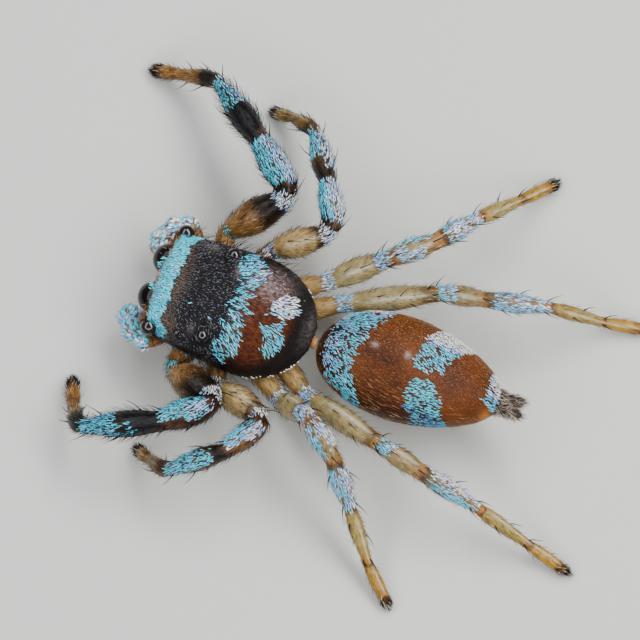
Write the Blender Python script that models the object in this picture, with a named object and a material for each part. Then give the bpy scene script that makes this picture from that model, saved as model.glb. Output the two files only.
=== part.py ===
# Still, life-size model of a jumping spider, standing on its eight feet.
#
# The head looks along -Y, the spider's left is +X, and its feet stand at Z = 0.
# Every size and place below is in millimetres; place_on_origin brings the finished
# meshes to metres and sets the middle of the model's foot print on the origin.

import math

import bmesh
import bpy
from mathutils import Matrix, Vector

MILLIMETRE = 0.001
GAP = 0.02  # between two pieces that touch

# Head and thorax. Each station of the carapace: y, half width, margin height, crown height
CARAPACE_STATIONS = (
    (-0.03, 0.85, 1.24, 1.80),
    (0.05, 0.95, 1.18, 1.89),
    (0.20, 1.01, 1.16, 1.94),
    (0.65, 1.07, 1.14, 1.97),
    (1.15, 1.12, 1.13, 2.00),
    (1.60, 1.16, 1.13, 1.98),
    (2.00, 1.16, 1.13, 1.90),
    (2.38, 1.06, 1.13, 1.74),
    (2.70, 0.85, 1.15, 1.53),
    (2.92, 0.58, 1.21, 1.38),
    (3.06, 0.25, 1.25, 1.31),
)
CARAPACE_STEPS = 2  # rings from one station to the next
CARAPACE_ARCH_SIDES = 18
CARAPACE_FLOOR_SIDES = 4
HEAD_SQUARENESS = 3.4  # exponent of the cross section at the face
REAR_SQUARENESS = 2.2  # and at the rear slope

# Eyes: half distance apart, y, z, radius, radius of the swelling that carries it, how far that lies deeper
EYES = {
    "front_median": (0.39, 0.03, 1.53, 0.305, 0.0, 0.0),
    "front_lateral": (0.965, 0.15, 1.58, 0.165, 0.205, 0.093),
    "rear_median": (0.93, 0.69, 1.77, 0.05, 0.075, 0.035),
    "rear_lateral": (0.825, 1.17, 1.86, 0.145, 0.19, 0.09),
}

# Underside of the head and thorax
STERNUM_FRONT = 0.80
STERNUM_LENGTH = 1.85
STERNUM_HALF_WIDTH = 0.52
STERNUM_BELLY = 0.60
STERNUM_TOP = 1.09
STERNUM_RINGS = 13
STERNUM_SIDES = 16
STERNUM_ROUNDNESS = 0.55  # exponent of the cross section, 1 for an oval
CHELICERA_APART = 0.235
CHELICERA_HALF_WIDTH = 0.205
CHELICERA_HALF_DEPTH = 0.20
CHELICERA_TOP = 1.12
CHELICERA_LENGTH = 0.64
CHELICERA_LEAN = 0.11
CHELICERA_ROOT_Y = 0.14
CHELICERA_RINGS = 9
CHELICERA_SIDES = 14
FANG_LENGTH = 0.30
FANG_RADIUS = 0.045
FANG_ROOT = (0.30, 0.04)
FANG_CURL = 40.0  # degrees that it bends from root to tip
FANG_RINGS = 6
FANG_SIDES = 8
MAXILLA_SIZE = (0.15, 0.20, 0.14)
MAXILLA_CENTRE = (0.27, 0.60, 0.74)
LABIUM_SIZE = (0.10, 0.11, 0.12)
LABIUM_CENTRE = (0.0, 0.66, 0.73)
LUMP_SEGMENTS = 14
LUMP_SQUARENESS = 2.6  # 2 for a ball, more for a box

# Abdomen
ABDOMEN_CENTRE = (-0.056, 4.87, 1.30)
ABDOMEN_YAW = 2.7  # degrees that its tail is turned to the spider's right
ABDOMEN_PITCH = -3.5  # degrees that its tail hangs
ABDOMEN_FRONT = 1.72
ABDOMEN_REAR = 1.95
ABDOMEN_HALF_WIDTH = 1.02
ABDOMEN_UP = 0.78
ABDOMEN_DOWN = 0.72
ABDOMEN_FRONT_POWER = 2.3
ABDOMEN_REAR_POWER = 1.55
ABDOMEN_RINGS = 22
ABDOMEN_SIDES = 24
ABDOMEN_END_CROWDING = 0.6  # 0 spaces its rings evenly, 1 crowds them at both ends
ABDOMEN_FRONT_PAD = 0.17
ABDOMEN_FRONT_DROP = 0.30  # how far its front pad hangs below the axis
ABDOMEN_REAR_PAD = 0.20
PEDICEL_RADIUS = 0.12
PEDICEL_RINGS = 7
PEDICEL_SIDES = 10

# Spinnerets: side offset, height offset, spread in degrees, lift in degrees, length, root radius
SPINNERETS = (
    (0.088, -0.052, 4.0, -10.0, 0.38, 0.100),
    (0.082, 0.062, 6.0, 5.0, 0.44, 0.098),
)
SPINNERET_PROFILE = ((0.0, 0.9), (0.35, 1.0), (0.62, 0.92), (0.86, 0.76), (1.0, 0.42))
SPINNERET_SIDES = 9
SPINNERET_ROOT_DEPTH = 0.03
COLLAR_PROFILE = ((0.0, 0.96), (0.5, 1.0), (1.0, 0.80))
COLLAR_RADIUS = 0.19
COLLAR_LENGTH = 0.10
COLLAR_SIDES = 12

# Legs. Lengths from bend to bend: femur, patella, tibia, metatarsus, tarsus
LEG_LENGTHS = {
    1: (1.52, 1.26, 1.63, 0.97, 0.58),
    2: (1.41, 1.04, 1.29, 0.73, 0.48),
    3: (1.34, 0.98, 1.06, 1.08, 0.91),
    4: (2.07, 0.87, 1.33, 1.21, 0.93),
}
# Widths seen from above: coxa, femur, patella, tibia, metatarsus, tarsus, claw pad
LEG_WIDTHS = {
    1: (0.48, 0.69, 0.58, 0.56, 0.42, 0.36, 0.30),
    2: (0.46, 0.60, 0.52, 0.50, 0.41, 0.35, 0.28),
    3: (0.46, 0.52, 0.50, 0.47, 0.40, 0.34, 0.27),
    4: (0.46, 0.49, 0.48, 0.46, 0.39, 0.33, 0.27),
}
LEG_TALLNESS = {1: 1.10, 2: 1.06, 3: 1.0, 4: 1.0}
NECK = 0.80  # width at a joint, as a share of the thinner segment beside it
SEGMENT_PEAK = (0.5, 0.45, 0.5, 0.4, 0.3, 0.35)
BEND_RADIUS = {"hip": 0.24, "knee": 0.30, "ankle": 0.22}
HIP = {
    1: (1.42, 0.77, 0.88),
    2: (1.40, 1.66, 0.84),
    3: (1.235, 2.90, 0.88),
    4: (0.945, 3.30, 0.80),
}
COXA_ROOT = {
    1: (0.50, 0.99, 0.80),
    2: (0.50, 1.42, 0.80),
    3: (0.50, 1.84, 0.80),
    4: (0.32, 2.34, 0.80),
}
# Each segment's swing behind straight sideways and its lift, in degrees. The tarsus comes
# down to the floor, so it has a swing alone.
LEG_POSE = {
    ("left", 1): ((71, 32), (-52, 1), (-70, -22), (-150, -50), -157),
    ("right", 1): ((45, 27), (-51, -1), (-52, -20), (-91, -37), -92),
    ("left", 2): ((71, 26), (-31, 10), (-57, -31), (-117, -49), -120),
    ("right", 2): ((60, 29), (-29, -7), (-33, -24), (-71, -39), -83),
    ("left", 3): ((63, 56), (55, -30), (43, -32), (41, -31), 48),
    ("right", 3): ((55, 29), (47, -4), (34, -24), (37, -30), 37),
    ("left", 4): ((71, 26), (81, -20), (83, -23), (80, -25), 79),
    ("right", 4): ((69, 25), (70, -29), (73, -12), (75, -34), 75),
}
LEG_SIDES = 10
STRAIGHT_STEP = 0.30
BEND_STEP = 26.0  # degrees from ring to ring
SHORTEST_STEP = 0.012
LIMB_TIP = ((0.45, 0.86), (0.80, 0.52))  # advance and width of its last rings, as shares of the radius
SOLE_SHARE = 0.32  # height of the foot's axis over the floor, as a share of the claw pad's width

# Palps: points from the root to the tip, and the width of each segment
PALP_POINTS = {
    "right": ((0.50, 0.50, 0.76), (1.26, 0.30, 0.93), (1.27, -0.04, 0.95), (1.06, -0.24, 0.82), (0.74, -0.34, 0.52)),
    "left": ((0.50, 0.50, 0.76), (1.10, 0.30, 0.90), (1.07, -0.06, 0.92), (0.86, -0.26, 0.80), (0.56, -0.38, 0.50)),
}
PALP_WIDTHS = (0.32, 0.40, 0.46, 0.50, 0.34)
PALP_BEND_RADIUS = 0.25

COLOURS = {
    "carapace": ((0.045, 0.022, 0.016), 0.38),
    "eye": ((0.004, 0.004, 0.006), 0.06),
    "underside": ((0.34, 0.17, 0.07), 0.50),
    "chelicera": ((0.09, 0.035, 0.02), 0.35),
    "fang": ((0.05, 0.012, 0.006), 0.22),
    "palp": ((0.45, 0.46, 0.42), 0.50),
    "abdomen": ((0.24, 0.085, 0.035), 0.55),
    "spinneret": ((0.05, 0.035, 0.03), 0.60),
    "coxa": ((0.50, 0.30, 0.12), 0.45),
    "foreleg": ((0.06, 0.035, 0.025), 0.42),
    "hind leg": ((0.50, 0.38, 0.17), 0.40),
    "foot": ((0.52, 0.30, 0.08), 0.42),
}


def clear_scene():
    for item in list(bpy.data.objects):
        bpy.data.objects.remove(item, do_unlink=True)


def make_material(name, finish):
    colour, roughness = COLOURS[finish]
    material = bpy.data.materials.new(name)
    material.use_nodes = True
    shader = material.node_tree.nodes["Principled BSDF"]
    shader.inputs["Base Color"].default_value = (*colour, 1.0)
    shader.inputs["Roughness"].default_value = roughness
    shader.inputs["Metallic"].default_value = 0.0
    return material


def make_object(name, bm, finish):
    mesh = bpy.data.meshes.new(name)
    bm.to_mesh(mesh)
    bm.free()
    mesh.materials.append(make_material(name, finish))
    mesh.shade_smooth()
    mesh.set_sharp_from_angle(angle=math.radians(40.0))
    item = bpy.data.objects.new(name, mesh)
    bpy.context.scene.collection.objects.link(item)
    return item


# Shapes that many pieces share


def sweep(rings):
    """A closed body drawn out through rings that all have the same number of points."""
    bm = bmesh.new()
    spoke = bm.verts.layers.int.new("spoke")
    bmesh.ops.create_circle(bm, cap_ends=True, segments=len(rings[0]), radius=1.0)
    for index, vert in enumerate(bm.verts):
        vert[spoke] = index
        vert.co = rings[0][index]
    bm.faces.ensure_lookup_table()
    face = bm.faces[0]
    for count, ring in enumerate(rings[1:]):
        drawn = bmesh.ops.extrude_face_region(bm, geom=[face])["geom"]
        if count:
            bmesh.ops.delete(bm, geom=[face], context="FACES_ONLY")
        face = next(part for part in drawn if isinstance(part, bmesh.types.BMFace))
        for vert in face.verts:
            vert.co = ring[vert[spoke]]
    bmesh.ops.recalc_face_normals(bm, faces=bm.faces[:])
    return bm


def oval(centre, direction, half_width, half_height, sides, up=Vector((0.0, 0.0, 1.0))):
    """One ring of a limb: an ellipse across the direction that the limb takes."""
    across = direction.cross(up).normalized()
    above = across.cross(direction).normalized()
    ring = []
    for index in range(sides):
        angle = 2.0 * math.pi * (index + 0.5) / sides
        side_part = across * half_width * math.sin(angle)
        ring.append(centre + side_part - above * half_height * math.cos(angle))
    return ring


def ball(centre, radius, segments):
    bm = bmesh.new()
    bmesh.ops.create_uvsphere(bm, u_segments=segments, v_segments=segments * 2 // 3, radius=radius)
    bmesh.ops.translate(bm, verts=bm.verts[:], vec=centre)
    return bm


def rounded_lump(centre, half_size):
    """A pillow-like body: a ball pushed towards a box."""
    bm = ball((0.0, 0.0, 0.0), 1.0, LUMP_SEGMENTS)
    for vert in bm.verts:
        spread = sum(abs(value) ** LUMP_SQUARENESS for value in vert.co) ** (1.0 / LUMP_SQUARENESS)
        vert.co = Vector(half * value / spread for half, value in zip(half_size, vert.co))
    bmesh.ops.translate(bm, verts=bm.verts[:], vec=centre)
    return bm


def hide_tool(item):
    item.hide_render = True
    item.display_type = "WIRE"


def apply_boolean(item, tools, operation):
    """Cuts or joins the tools with one piece, keeps its largest closed surface, removes the tools."""
    collection = bpy.data.collections.new(item.name + " tools")
    bpy.context.scene.collection.children.link(collection)
    for tool in tools:
        hide_tool(tool)
        collection.objects.link(tool)
    modifier = item.modifiers.new("shape", "BOOLEAN")
    modifier.operation = operation
    modifier.solver = "EXACT"
    modifier.operand_type = "COLLECTION"
    modifier.collection = collection
    evaluated = item.evaluated_get(bpy.context.evaluated_depsgraph_get())
    mesh = bpy.data.meshes.new_from_object(evaluated)
    item.modifiers.remove(modifier)
    item.data = mesh
    mesh.name = item.name
    for tool in tools:
        bpy.data.objects.remove(tool, do_unlink=True)
    bpy.data.collections.remove(collection)
    keep_largest_shell(mesh)


def keep_largest_shell(mesh):
    bm = bmesh.new()
    bm.from_mesh(mesh)
    unseen = set(bm.verts)
    shells = []
    while unseen:
        edge_of_shell = [unseen.pop()]
        shell = set(edge_of_shell)
        while edge_of_shell:
            vert = edge_of_shell.pop()
            for edge in vert.link_edges:
                other = edge.other_vert(vert)
                if other in unseen:
                    unseen.discard(other)
                    shell.add(other)
                    edge_of_shell.append(other)
        shells.append(shell)
    largest = max(shells, key=len)
    scraps = [vert for vert in bm.verts if vert not in largest]
    bmesh.ops.delete(bm, geom=scraps, context="VERTS")
    bm.to_mesh(mesh)
    bm.free()


def ease(share):
    return 0.5 - 0.5 * math.cos(math.pi * min(max(share, 0.0), 1.0))


def smooth_row(rows, index, share):
    """A value between two rows of stations, on a curve that passes through all of them."""
    before = rows[max(index - 1, 0)]
    start = rows[index]
    end = rows[index + 1]
    after = rows[min(index + 2, len(rows) - 1)]
    values = []
    for p0, p1, p2, p3 in zip(before, start, end, after):
        square = share * share
        cube = square * share
        bend = 2.0 * p0 - 5.0 * p1 + 4.0 * p2 - p3
        turn = 3.0 * p1 - p0 - 3.0 * p2 + p3
        values.append(0.5 * (2.0 * p1 + (p2 - p0) * share + bend * square + turn * cube))
    return values


# Carapace and eyes


def carapace_ring(y, half_width, margin, crown):
    """Flat below, arched above: square at the face and round at the rear."""
    length = CARAPACE_STATIONS[-1][0] - CARAPACE_STATIONS[0][0]
    share = ease((y - CARAPACE_STATIONS[0][0]) / length)
    power = 2.0 / (HEAD_SQUARENESS + (REAR_SQUARENESS - HEAD_SQUARENESS) * share)
    ring = []
    for index in range(CARAPACE_ARCH_SIDES + 1):
        angle = math.pi * index / CARAPACE_ARCH_SIDES
        along = math.copysign(abs(math.cos(angle)) ** power, math.cos(angle))
        rise = abs(math.sin(angle)) ** power
        ring.append(Vector((half_width * along, y, margin + (crown - margin) * rise)))
    for index in range(1, CARAPACE_FLOOR_SIDES):
        along = 2.0 * index / CARAPACE_FLOOR_SIDES - 1.0
        ring.append(Vector((half_width * along, y, margin)))
    return ring


def build_carapace():
    rings = []
    for index in range(len(CARAPACE_STATIONS) - 1):
        for step in range(CARAPACE_STEPS):
            row = smooth_row(CARAPACE_STATIONS, index, step / CARAPACE_STEPS)
            rings.append(carapace_ring(*row))
    rings.append(carapace_ring(*CARAPACE_STATIONS[-1]))
    carapace = make_object("carapace", sweep(rings), "carapace")
    swellings = []
    sockets = []
    for half_apart, y, z, radius, swelling, deeper in EYES.values():
        for side in (-1.0, 1.0):
            centre = Vector((side * half_apart, y, z))
            if swelling:
                inward = Vector((-side * deeper, 0.0, -0.4 * deeper))
                swellings.append(make_object("swelling", ball(centre + inward, swelling, 12), "carapace"))
            sockets.append(make_object("socket", ball(centre, radius + GAP, eye_detail(radius)), "eye"))
    apply_boolean(carapace, swellings, "UNION")
    apply_boolean(carapace, sockets, "DIFFERENCE")
    carapace.data.shade_smooth()
    carapace.data.set_sharp_from_angle(angle=math.radians(40.0))


def eye_detail(radius):
    return 16 if radius > 0.2 else 12 if radius > 0.1 else 8


def build_eyes():
    for name, (half_apart, y, z, radius, swelling, deeper) in EYES.items():
        for side_name, side in (("right", -1.0), ("left", 1.0)):
            shape = ball((side * half_apart, y, z), radius, eye_detail(radius))
            make_object(f"eye_{name}_{side_name}", shape, "eye")


# Underside of the head and thorax


def sternum_outline(share):
    """Half width of the shield at a share of its length, widest a third of the way back."""
    return STERNUM_HALF_WIDTH * math.sin(math.pi * share ** 0.72) ** 0.62


def sternum_shape(grow=0.0):
    rings = []
    for index in range(STERNUM_RINGS):
        share = 0.012 + 0.976 * index / (STERNUM_RINGS - 1)
        y = STERNUM_FRONT - grow + (STERNUM_LENGTH + 2.0 * grow) * share
        half_width = sternum_outline(share) + grow
        middle = 0.5 * (STERNUM_BELLY + STERNUM_TOP)
        half_height = 0.5 * (STERNUM_TOP - STERNUM_BELLY) + grow
        ring = []
        for spoke in range(STERNUM_SIDES):
            angle = 2.0 * math.pi * (spoke + 0.5) / STERNUM_SIDES
            x = math.copysign(abs(math.cos(angle)) ** STERNUM_ROUNDNESS, math.cos(angle)) * half_width
            z = math.copysign(abs(math.sin(angle)) ** STERNUM_ROUNDNESS, math.sin(angle)) * half_height
            ring.append(Vector((x, y, middle + z)))
        rings.append(ring)
    return sweep(rings)


def build_underside():
    make_object("sternum", sternum_shape(), "underside")
    make_object("labium", rounded_lump(LABIUM_CENTRE, LABIUM_SIZE), "underside")
    for side_name, side in (("right", -1.0), ("left", 1.0)):
        centre = (side * MAXILLA_CENTRE[0], *MAXILLA_CENTRE[1:])
        make_object(f"maxilla_{side_name}", rounded_lump(centre, MAXILLA_SIZE), "underside")
        build_chelicera(side_name, side)


def build_chelicera(side_name, side):
    rings = []
    for index in range(CHELICERA_RINGS):
        share = index / (CHELICERA_RINGS - 1)
        belly = 0.86 + 0.20 * math.sin(math.pi * min(share * 1.15, 1.0)) - 0.22 * share ** 2.5
        x = side * (CHELICERA_APART - 0.03 * share)
        y = CHELICERA_ROOT_Y - CHELICERA_LEAN * share
        z = CHELICERA_TOP - CHELICERA_LENGTH * share
        ring = []
        for spoke in range(CHELICERA_SIDES):
            angle = 2.0 * math.pi * (spoke + 0.5) / CHELICERA_SIDES
            dx = CHELICERA_HALF_WIDTH * belly * math.cos(angle)
            dy = CHELICERA_HALF_DEPTH * belly * math.sin(angle)
            ring.append(Vector((x + dx, y + dy, z)))
        rings.append(ring)
    make_object(f"chelicera_{side_name}", sweep(rings), "chelicera")
    build_fang(side_name, side)


def build_fang(side_name, side):
    """A curved claw folded inwards under its chelicera."""
    rings = []
    x, y = FANG_ROOT
    start = Vector((side * x, y, CHELICERA_TOP - CHELICERA_LENGTH - GAP - 1.15 * FANG_RADIUS))
    for index in range(FANG_RINGS):
        share = index / (FANG_RINGS - 1)
        turn = math.radians(FANG_CURL * share)
        chord = Vector((-side * math.cos(0.5 * turn), 0.0, -math.sin(0.5 * turn)))
        direction = Vector((-side * math.cos(turn), 0.0, -math.sin(turn)))
        radius = FANG_RADIUS * (1.0 - 0.82 * share)
        rings.append(oval(start + chord * FANG_LENGTH * share, direction, radius, radius, FANG_SIDES))
    make_object(f"fang_{side_name}", sweep(rings), "fang")


# Abdomen, pedicel and spinnerets


def abdomen_frame():
    yaw = Matrix.Rotation(math.radians(ABDOMEN_YAW), 4, "Z")
    pitch = Matrix.Rotation(math.radians(ABDOMEN_PITCH), 4, "X")
    return Matrix.Translation(ABDOMEN_CENTRE) @ yaw @ pitch


def abdomen_girth(along):
    """Share of the full girth at a distance along the abdomen, like an egg blunt in front."""
    if along < 0.0:
        return math.sqrt(max(1.0 - (-along / ABDOMEN_FRONT) ** ABDOMEN_FRONT_POWER, 0.0))
    return math.sqrt(max(1.0 - (along / ABDOMEN_REAR) ** ABDOMEN_REAR_POWER, 0.0))


def build_abdomen():
    frame = abdomen_frame()
    front_pad = ABDOMEN_FRONT_PAD / ABDOMEN_HALF_WIDTH
    rear_pad = ABDOMEN_REAR_PAD / ABDOMEN_HALF_WIDTH
    start = -ABDOMEN_FRONT * (1.0 - front_pad ** 2) ** (1.0 / ABDOMEN_FRONT_POWER)
    end = ABDOMEN_REAR * (1.0 - rear_pad ** 2) ** (1.0 / ABDOMEN_REAR_POWER)
    rings = []
    for index in range(ABDOMEN_RINGS):
        even = index / (ABDOMEN_RINGS - 1)
        share = even + (ease(even) - even) * ABDOMEN_END_CROWDING
        along = start + (end - start) * share
        girth = abdomen_girth(along)
        drop = ABDOMEN_FRONT_DROP * (min(along, 0.0) / ABDOMEN_FRONT) ** 4
        ring = []
        for spoke in range(ABDOMEN_SIDES):
            angle = 2.0 * math.pi * (spoke + 0.5) / ABDOMEN_SIDES
            height = ABDOMEN_UP if math.cos(angle) > 0.0 else ABDOMEN_DOWN
            x = ABDOMEN_HALF_WIDTH * girth * math.sin(angle)
            ring.append(frame @ Vector((x, along, height * girth * math.cos(angle) - drop)))
        rings.append(ring)
    make_object("abdomen", sweep(rings), "abdomen")
    build_pedicel(frame @ Vector((0.0, start, -ABDOMEN_FRONT_DROP * (start / ABDOMEN_FRONT) ** 4)))
    build_spinnerets(frame, end)


def build_pedicel(seat):
    """The waist, from the rear of the sternum to the front pad of the abdomen."""
    frame = abdomen_frame()
    facing = (frame.to_3x3() @ Vector((0.0, 1.0, 0.0))).normalized()
    start = Vector((0.0, STERNUM_FRONT + STERNUM_LENGTH + GAP, 0.5 * (STERNUM_BELLY + STERNUM_TOP)))
    end = seat - facing * GAP
    leave = Vector((0.0, 1.0, 0.0))
    rings = []
    for index in range(PEDICEL_RINGS):
        share = index / (PEDICEL_RINGS - 1)
        centre = start.lerp(end, share)
        centre.z = start.z + (end.z - start.z) * ease(share)
        direction = leave.lerp(facing, share).normalized()
        radius = PEDICEL_RADIUS * (1.0 - 0.18 * math.sin(math.pi * share))
        rings.append(oval(centre, direction, radius, radius, PEDICEL_SIDES))
    make_object("pedicel", sweep(rings), "coxa")


def build_spinnerets(frame, end):
    facing = (frame.to_3x3() @ Vector((0.0, 1.0, 0.0))).normalized()
    collar_rings = []
    for share, width in COLLAR_PROFILE:
        centre = frame @ Vector((0.0, end + GAP + COLLAR_LENGTH * share, 0.0))
        collar_rings.append(oval(centre, facing, COLLAR_RADIUS * width, COLLAR_RADIUS * width, COLLAR_SIDES))
    spinnerets = make_object("spinnerets", sweep(collar_rings), "spinneret")
    fingers = []
    for side_offset, height_offset, spread, lift, length, root in SPINNERETS:
        for side in (-1.0, 1.0):
            turn = math.radians(spread) * side
            rise = math.radians(lift)
            heading = Vector((math.sin(turn), math.cos(turn) * math.cos(rise), math.sin(rise)))
            direction = (frame.to_3x3() @ heading).normalized()
            base = frame @ Vector((side * side_offset, end + GAP + SPINNERET_ROOT_DEPTH, height_offset))
            rings = []
            for share, width in SPINNERET_PROFILE:
                place = base + direction * length * share
                rings.append(oval(place, direction, root * width, root * width, SPINNERET_SIDES))
            fingers.append(make_object("finger", sweep(rings), "spinneret"))
    apply_boolean(spinnerets, fingers, "UNION")


# Limbs


class LimbPath:
    """Straight stretches joined by round bends, read by the distance along them."""

    def __init__(self, corners, bends):
        self.stretches = []
        self.joints = [0.0]
        self.length = 0.0
        start = corners[0]
        for index in range(1, len(corners) - 1):
            corner = corners[index]
            arrive = (corner - corners[index - 1]).normalized()
            leave = (corners[index + 1] - corner).normalized()
            turn = arrive.angle(leave)
            radius = bends.get(index, 0.0)
            trim = radius * math.tan(0.5 * turn)
            self.add_line(start, corner - arrive * trim)
            if radius:
                self.add_bend(corner - arrive * trim, arrive, leave, radius, turn)
                self.joints.append(self.length - 0.5 * radius * turn)
            else:
                self.joints.append(self.length)
            start = corner + leave * trim
        self.add_line(start, corners[-1])
        self.joints.append(self.length)

    def add_line(self, start, end):
        reach = (end - start).length
        self.stretches.append(("line", self.length, reach, start, (end - start).normalized(), None, 0.0))
        self.length += reach

    def add_bend(self, start, arrive, leave, radius, turn):
        inward = (leave - arrive * arrive.dot(leave)).normalized()
        reach = radius * turn
        self.stretches.append(("bend", self.length, reach, start, arrive, inward, radius))
        self.length += reach

    def read(self, distance):
        """The place and the direction of the path at a distance along it."""
        for kind, begin, reach, start, direction, inward, radius in self.stretches:
            if distance <= begin + reach or begin + reach >= self.length - 1e-9:
                travel = distance - begin
                if kind == "line":
                    return start + direction * travel, direction
                angle = travel / radius
                centre = start + inward * radius
                place = centre + (direction * math.sin(angle) - inward * math.cos(angle)) * radius
                return place, direction * math.cos(angle) + inward * math.sin(angle)

    def stations(self, first, last):
        """Distances at which rings stand: wide apart on straight stretches and close in bends."""
        marks = [first]
        for kind, begin, reach, start, direction, inward, radius in self.stretches:
            low = max(begin, first)
            high = min(begin + reach, last)
            if high - low < SHORTEST_STEP:
                continue
            step = STRAIGHT_STEP if kind == "line" else radius * math.radians(BEND_STEP)
            count = max(1, math.ceil((high - low) / step))
            marks += [low + (high - low) * index / count for index in range(1, count + 1)]
        marks[-1] = last
        return marks


def limb_radius(path, widths, distance):
    """Half width along a limb: each segment swells between the necks at its two joints."""
    last = len(path.joints) - 2
    segment = next((i for i in range(last) if distance < path.joints[i + 1]), last)
    span = path.joints[segment + 1] - path.joints[segment]
    share = (distance - path.joints[segment]) / span
    own = widths[segment]
    before = NECK * min(own, widths[max(segment - 1, 0)])
    after = widths[segment + 1] if segment == last else NECK * min(own, widths[segment + 1])
    peak = SEGMENT_PEAK[segment]
    if share < peak:
        return 0.5 * (before + (own - before) * ease(share / peak))
    return 0.5 * (own + (after - own) * ease((share - peak) / (1.0 - peak)))


def limb_node(name, path, widths, first, last, tallness, finish, tip=False):
    rings = []
    for distance in path.stations(first, last):
        place, direction = path.read(distance)
        radius = limb_radius(path, widths, distance)
        rings.append(oval(place, direction, radius, radius * tallness, LEG_SIDES))
    if tip:
        for advance, share in LIMB_TIP:
            end = place + direction * radius * advance
            rings.append(oval(end, direction, radius * share, radius * share * tallness, LEG_SIDES))
    bm = sweep(rings)
    for vert in bm.verts:
        vert.co.z = max(vert.co.z, 0.0)
    return make_object(name, bm, finish)


def leg_corners(side_name, number):
    side = 1.0 if side_name == "left" else -1.0
    mirror = Matrix.Scale(side, 3, (1.0, 0.0, 0.0))
    corners = [mirror @ Vector(COXA_ROOT[number]), mirror @ Vector(HIP[number])]
    lengths = LEG_LENGTHS[number]
    *angled, tarsus_swing = LEG_POSE[side_name, number]
    for length, (swing, lift) in zip(lengths, angled):
        swing = math.radians(swing)
        lift = math.radians(lift)
        heading = Vector((math.cos(lift) * math.cos(swing), math.cos(lift) * math.sin(swing), math.sin(lift)))
        corners.append(corners[-1] + mirror @ heading * length)
    sole = SOLE_SHARE * LEG_WIDTHS[number][-1]
    fall = math.asin(min((corners[-1].z - sole) / lengths[-1], 0.9))
    swing = math.radians(tarsus_swing)
    heading = Vector((math.cos(fall) * math.cos(swing), math.cos(fall) * math.sin(swing), -math.sin(fall)))
    corners.append(corners[-1] + mirror @ heading * lengths[-1])
    return corners


def build_leg(side_name, number):
    bends = {1: BEND_RADIUS["hip"], 2: BEND_RADIUS["knee"], 4: BEND_RADIUS["ankle"]}
    path = LimbPath(leg_corners(side_name, number), bends)
    widths = LEG_WIDTHS[number]
    tallness = LEG_TALLNESS[number]
    hip, knee, ankle = path.joints[1], path.joints[2], path.joints[4]
    upper = "foreleg" if number <= 2 else "hind leg"
    stem = f"leg_{side_name}_{number}"
    half_gap = 0.5 * GAP
    coxa = limb_node(f"{stem}_coxa", path, widths, 0.0, hip - half_gap, tallness, "coxa")
    apply_boolean(coxa, [make_object("sternum space", sternum_shape(GAP), "underside")], "DIFFERENCE")
    limb_node(f"{stem}_femur", path, widths, hip + half_gap, knee - half_gap, tallness, upper)
    limb_node(f"{stem}_tibia", path, widths, knee + half_gap, ankle - half_gap, tallness, upper)
    limb_node(f"{stem}_foot", path, widths, ankle + half_gap, path.length, tallness, "foot", tip=True)


def build_palp(side_name, side):
    corners = [Vector((side * x, y, z)) for x, y, z in PALP_POINTS[side_name]]
    path = LimbPath(corners, {1: PALP_BEND_RADIUS, 2: PALP_BEND_RADIUS, 3: PALP_BEND_RADIUS})
    half_gap = 0.5 * GAP
    elbow, wrist = path.joints[1], path.joints[3]
    stem = f"palp_{side_name}"
    limb_node(f"{stem}_femur", path, PALP_WIDTHS, 0.0, elbow - half_gap, 1.0, "coxa")
    limb_node(f"{stem}_tibia", path, PALP_WIDTHS, elbow + half_gap, wrist - half_gap, 1.0, "palp")
    limb_node(f"{stem}_tarsus", path, PALP_WIDTHS, wrist + half_gap, path.length, 1.0, "palp", tip=True)


def place_on_origin():
    """Brings every mesh to metres, with the origin under the middle of the model's box."""
    pieces = [item for item in bpy.data.objects if item.type == "MESH"]
    low_x = min(vert.co.x for item in pieces for vert in item.data.vertices)
    high_x = max(vert.co.x for item in pieces for vert in item.data.vertices)
    low_y = min(vert.co.y for item in pieces for vert in item.data.vertices)
    high_y = max(vert.co.y for item in pieces for vert in item.data.vertices)
    shift = Matrix.Translation((-0.5 * (low_x + high_x), -0.5 * (low_y + high_y), 0.0))
    for item in pieces:
        item.data.transform(Matrix.Scale(MILLIMETRE, 4) @ shift)


def main():
    clear_scene()
    build_carapace()
    build_eyes()
    build_underside()
    build_abdomen()
    for side_name, side in (("right", -1.0), ("left", 1.0)):
        build_palp(side_name, side)
        for number in (1, 2, 3, 4):
            build_leg(side_name, number)
    place_on_origin()


main()
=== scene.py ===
import math

import bmesh
import bpy
import numpy as np
from mathutils import Matrix, Vector, kdtree


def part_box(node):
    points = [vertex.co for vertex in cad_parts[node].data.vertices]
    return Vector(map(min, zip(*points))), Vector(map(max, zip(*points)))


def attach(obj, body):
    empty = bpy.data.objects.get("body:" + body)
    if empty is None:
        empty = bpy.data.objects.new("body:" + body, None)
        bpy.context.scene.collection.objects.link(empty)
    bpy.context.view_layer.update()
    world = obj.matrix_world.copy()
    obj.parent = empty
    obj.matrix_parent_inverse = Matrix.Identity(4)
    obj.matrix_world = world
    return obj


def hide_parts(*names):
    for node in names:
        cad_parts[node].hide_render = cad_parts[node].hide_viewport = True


# A life-size jumping spider: its horny shield, eyes, legs and abdomen, with the turquoise
# scales, fine hairs and bristles that cover them.
#
# Places are drawn in millimetres, with the head towards -Y, the spider's left at +X and the
# floor at Z = 0. finish_piece() brings each piece to metres and to its place in the frame.

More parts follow.
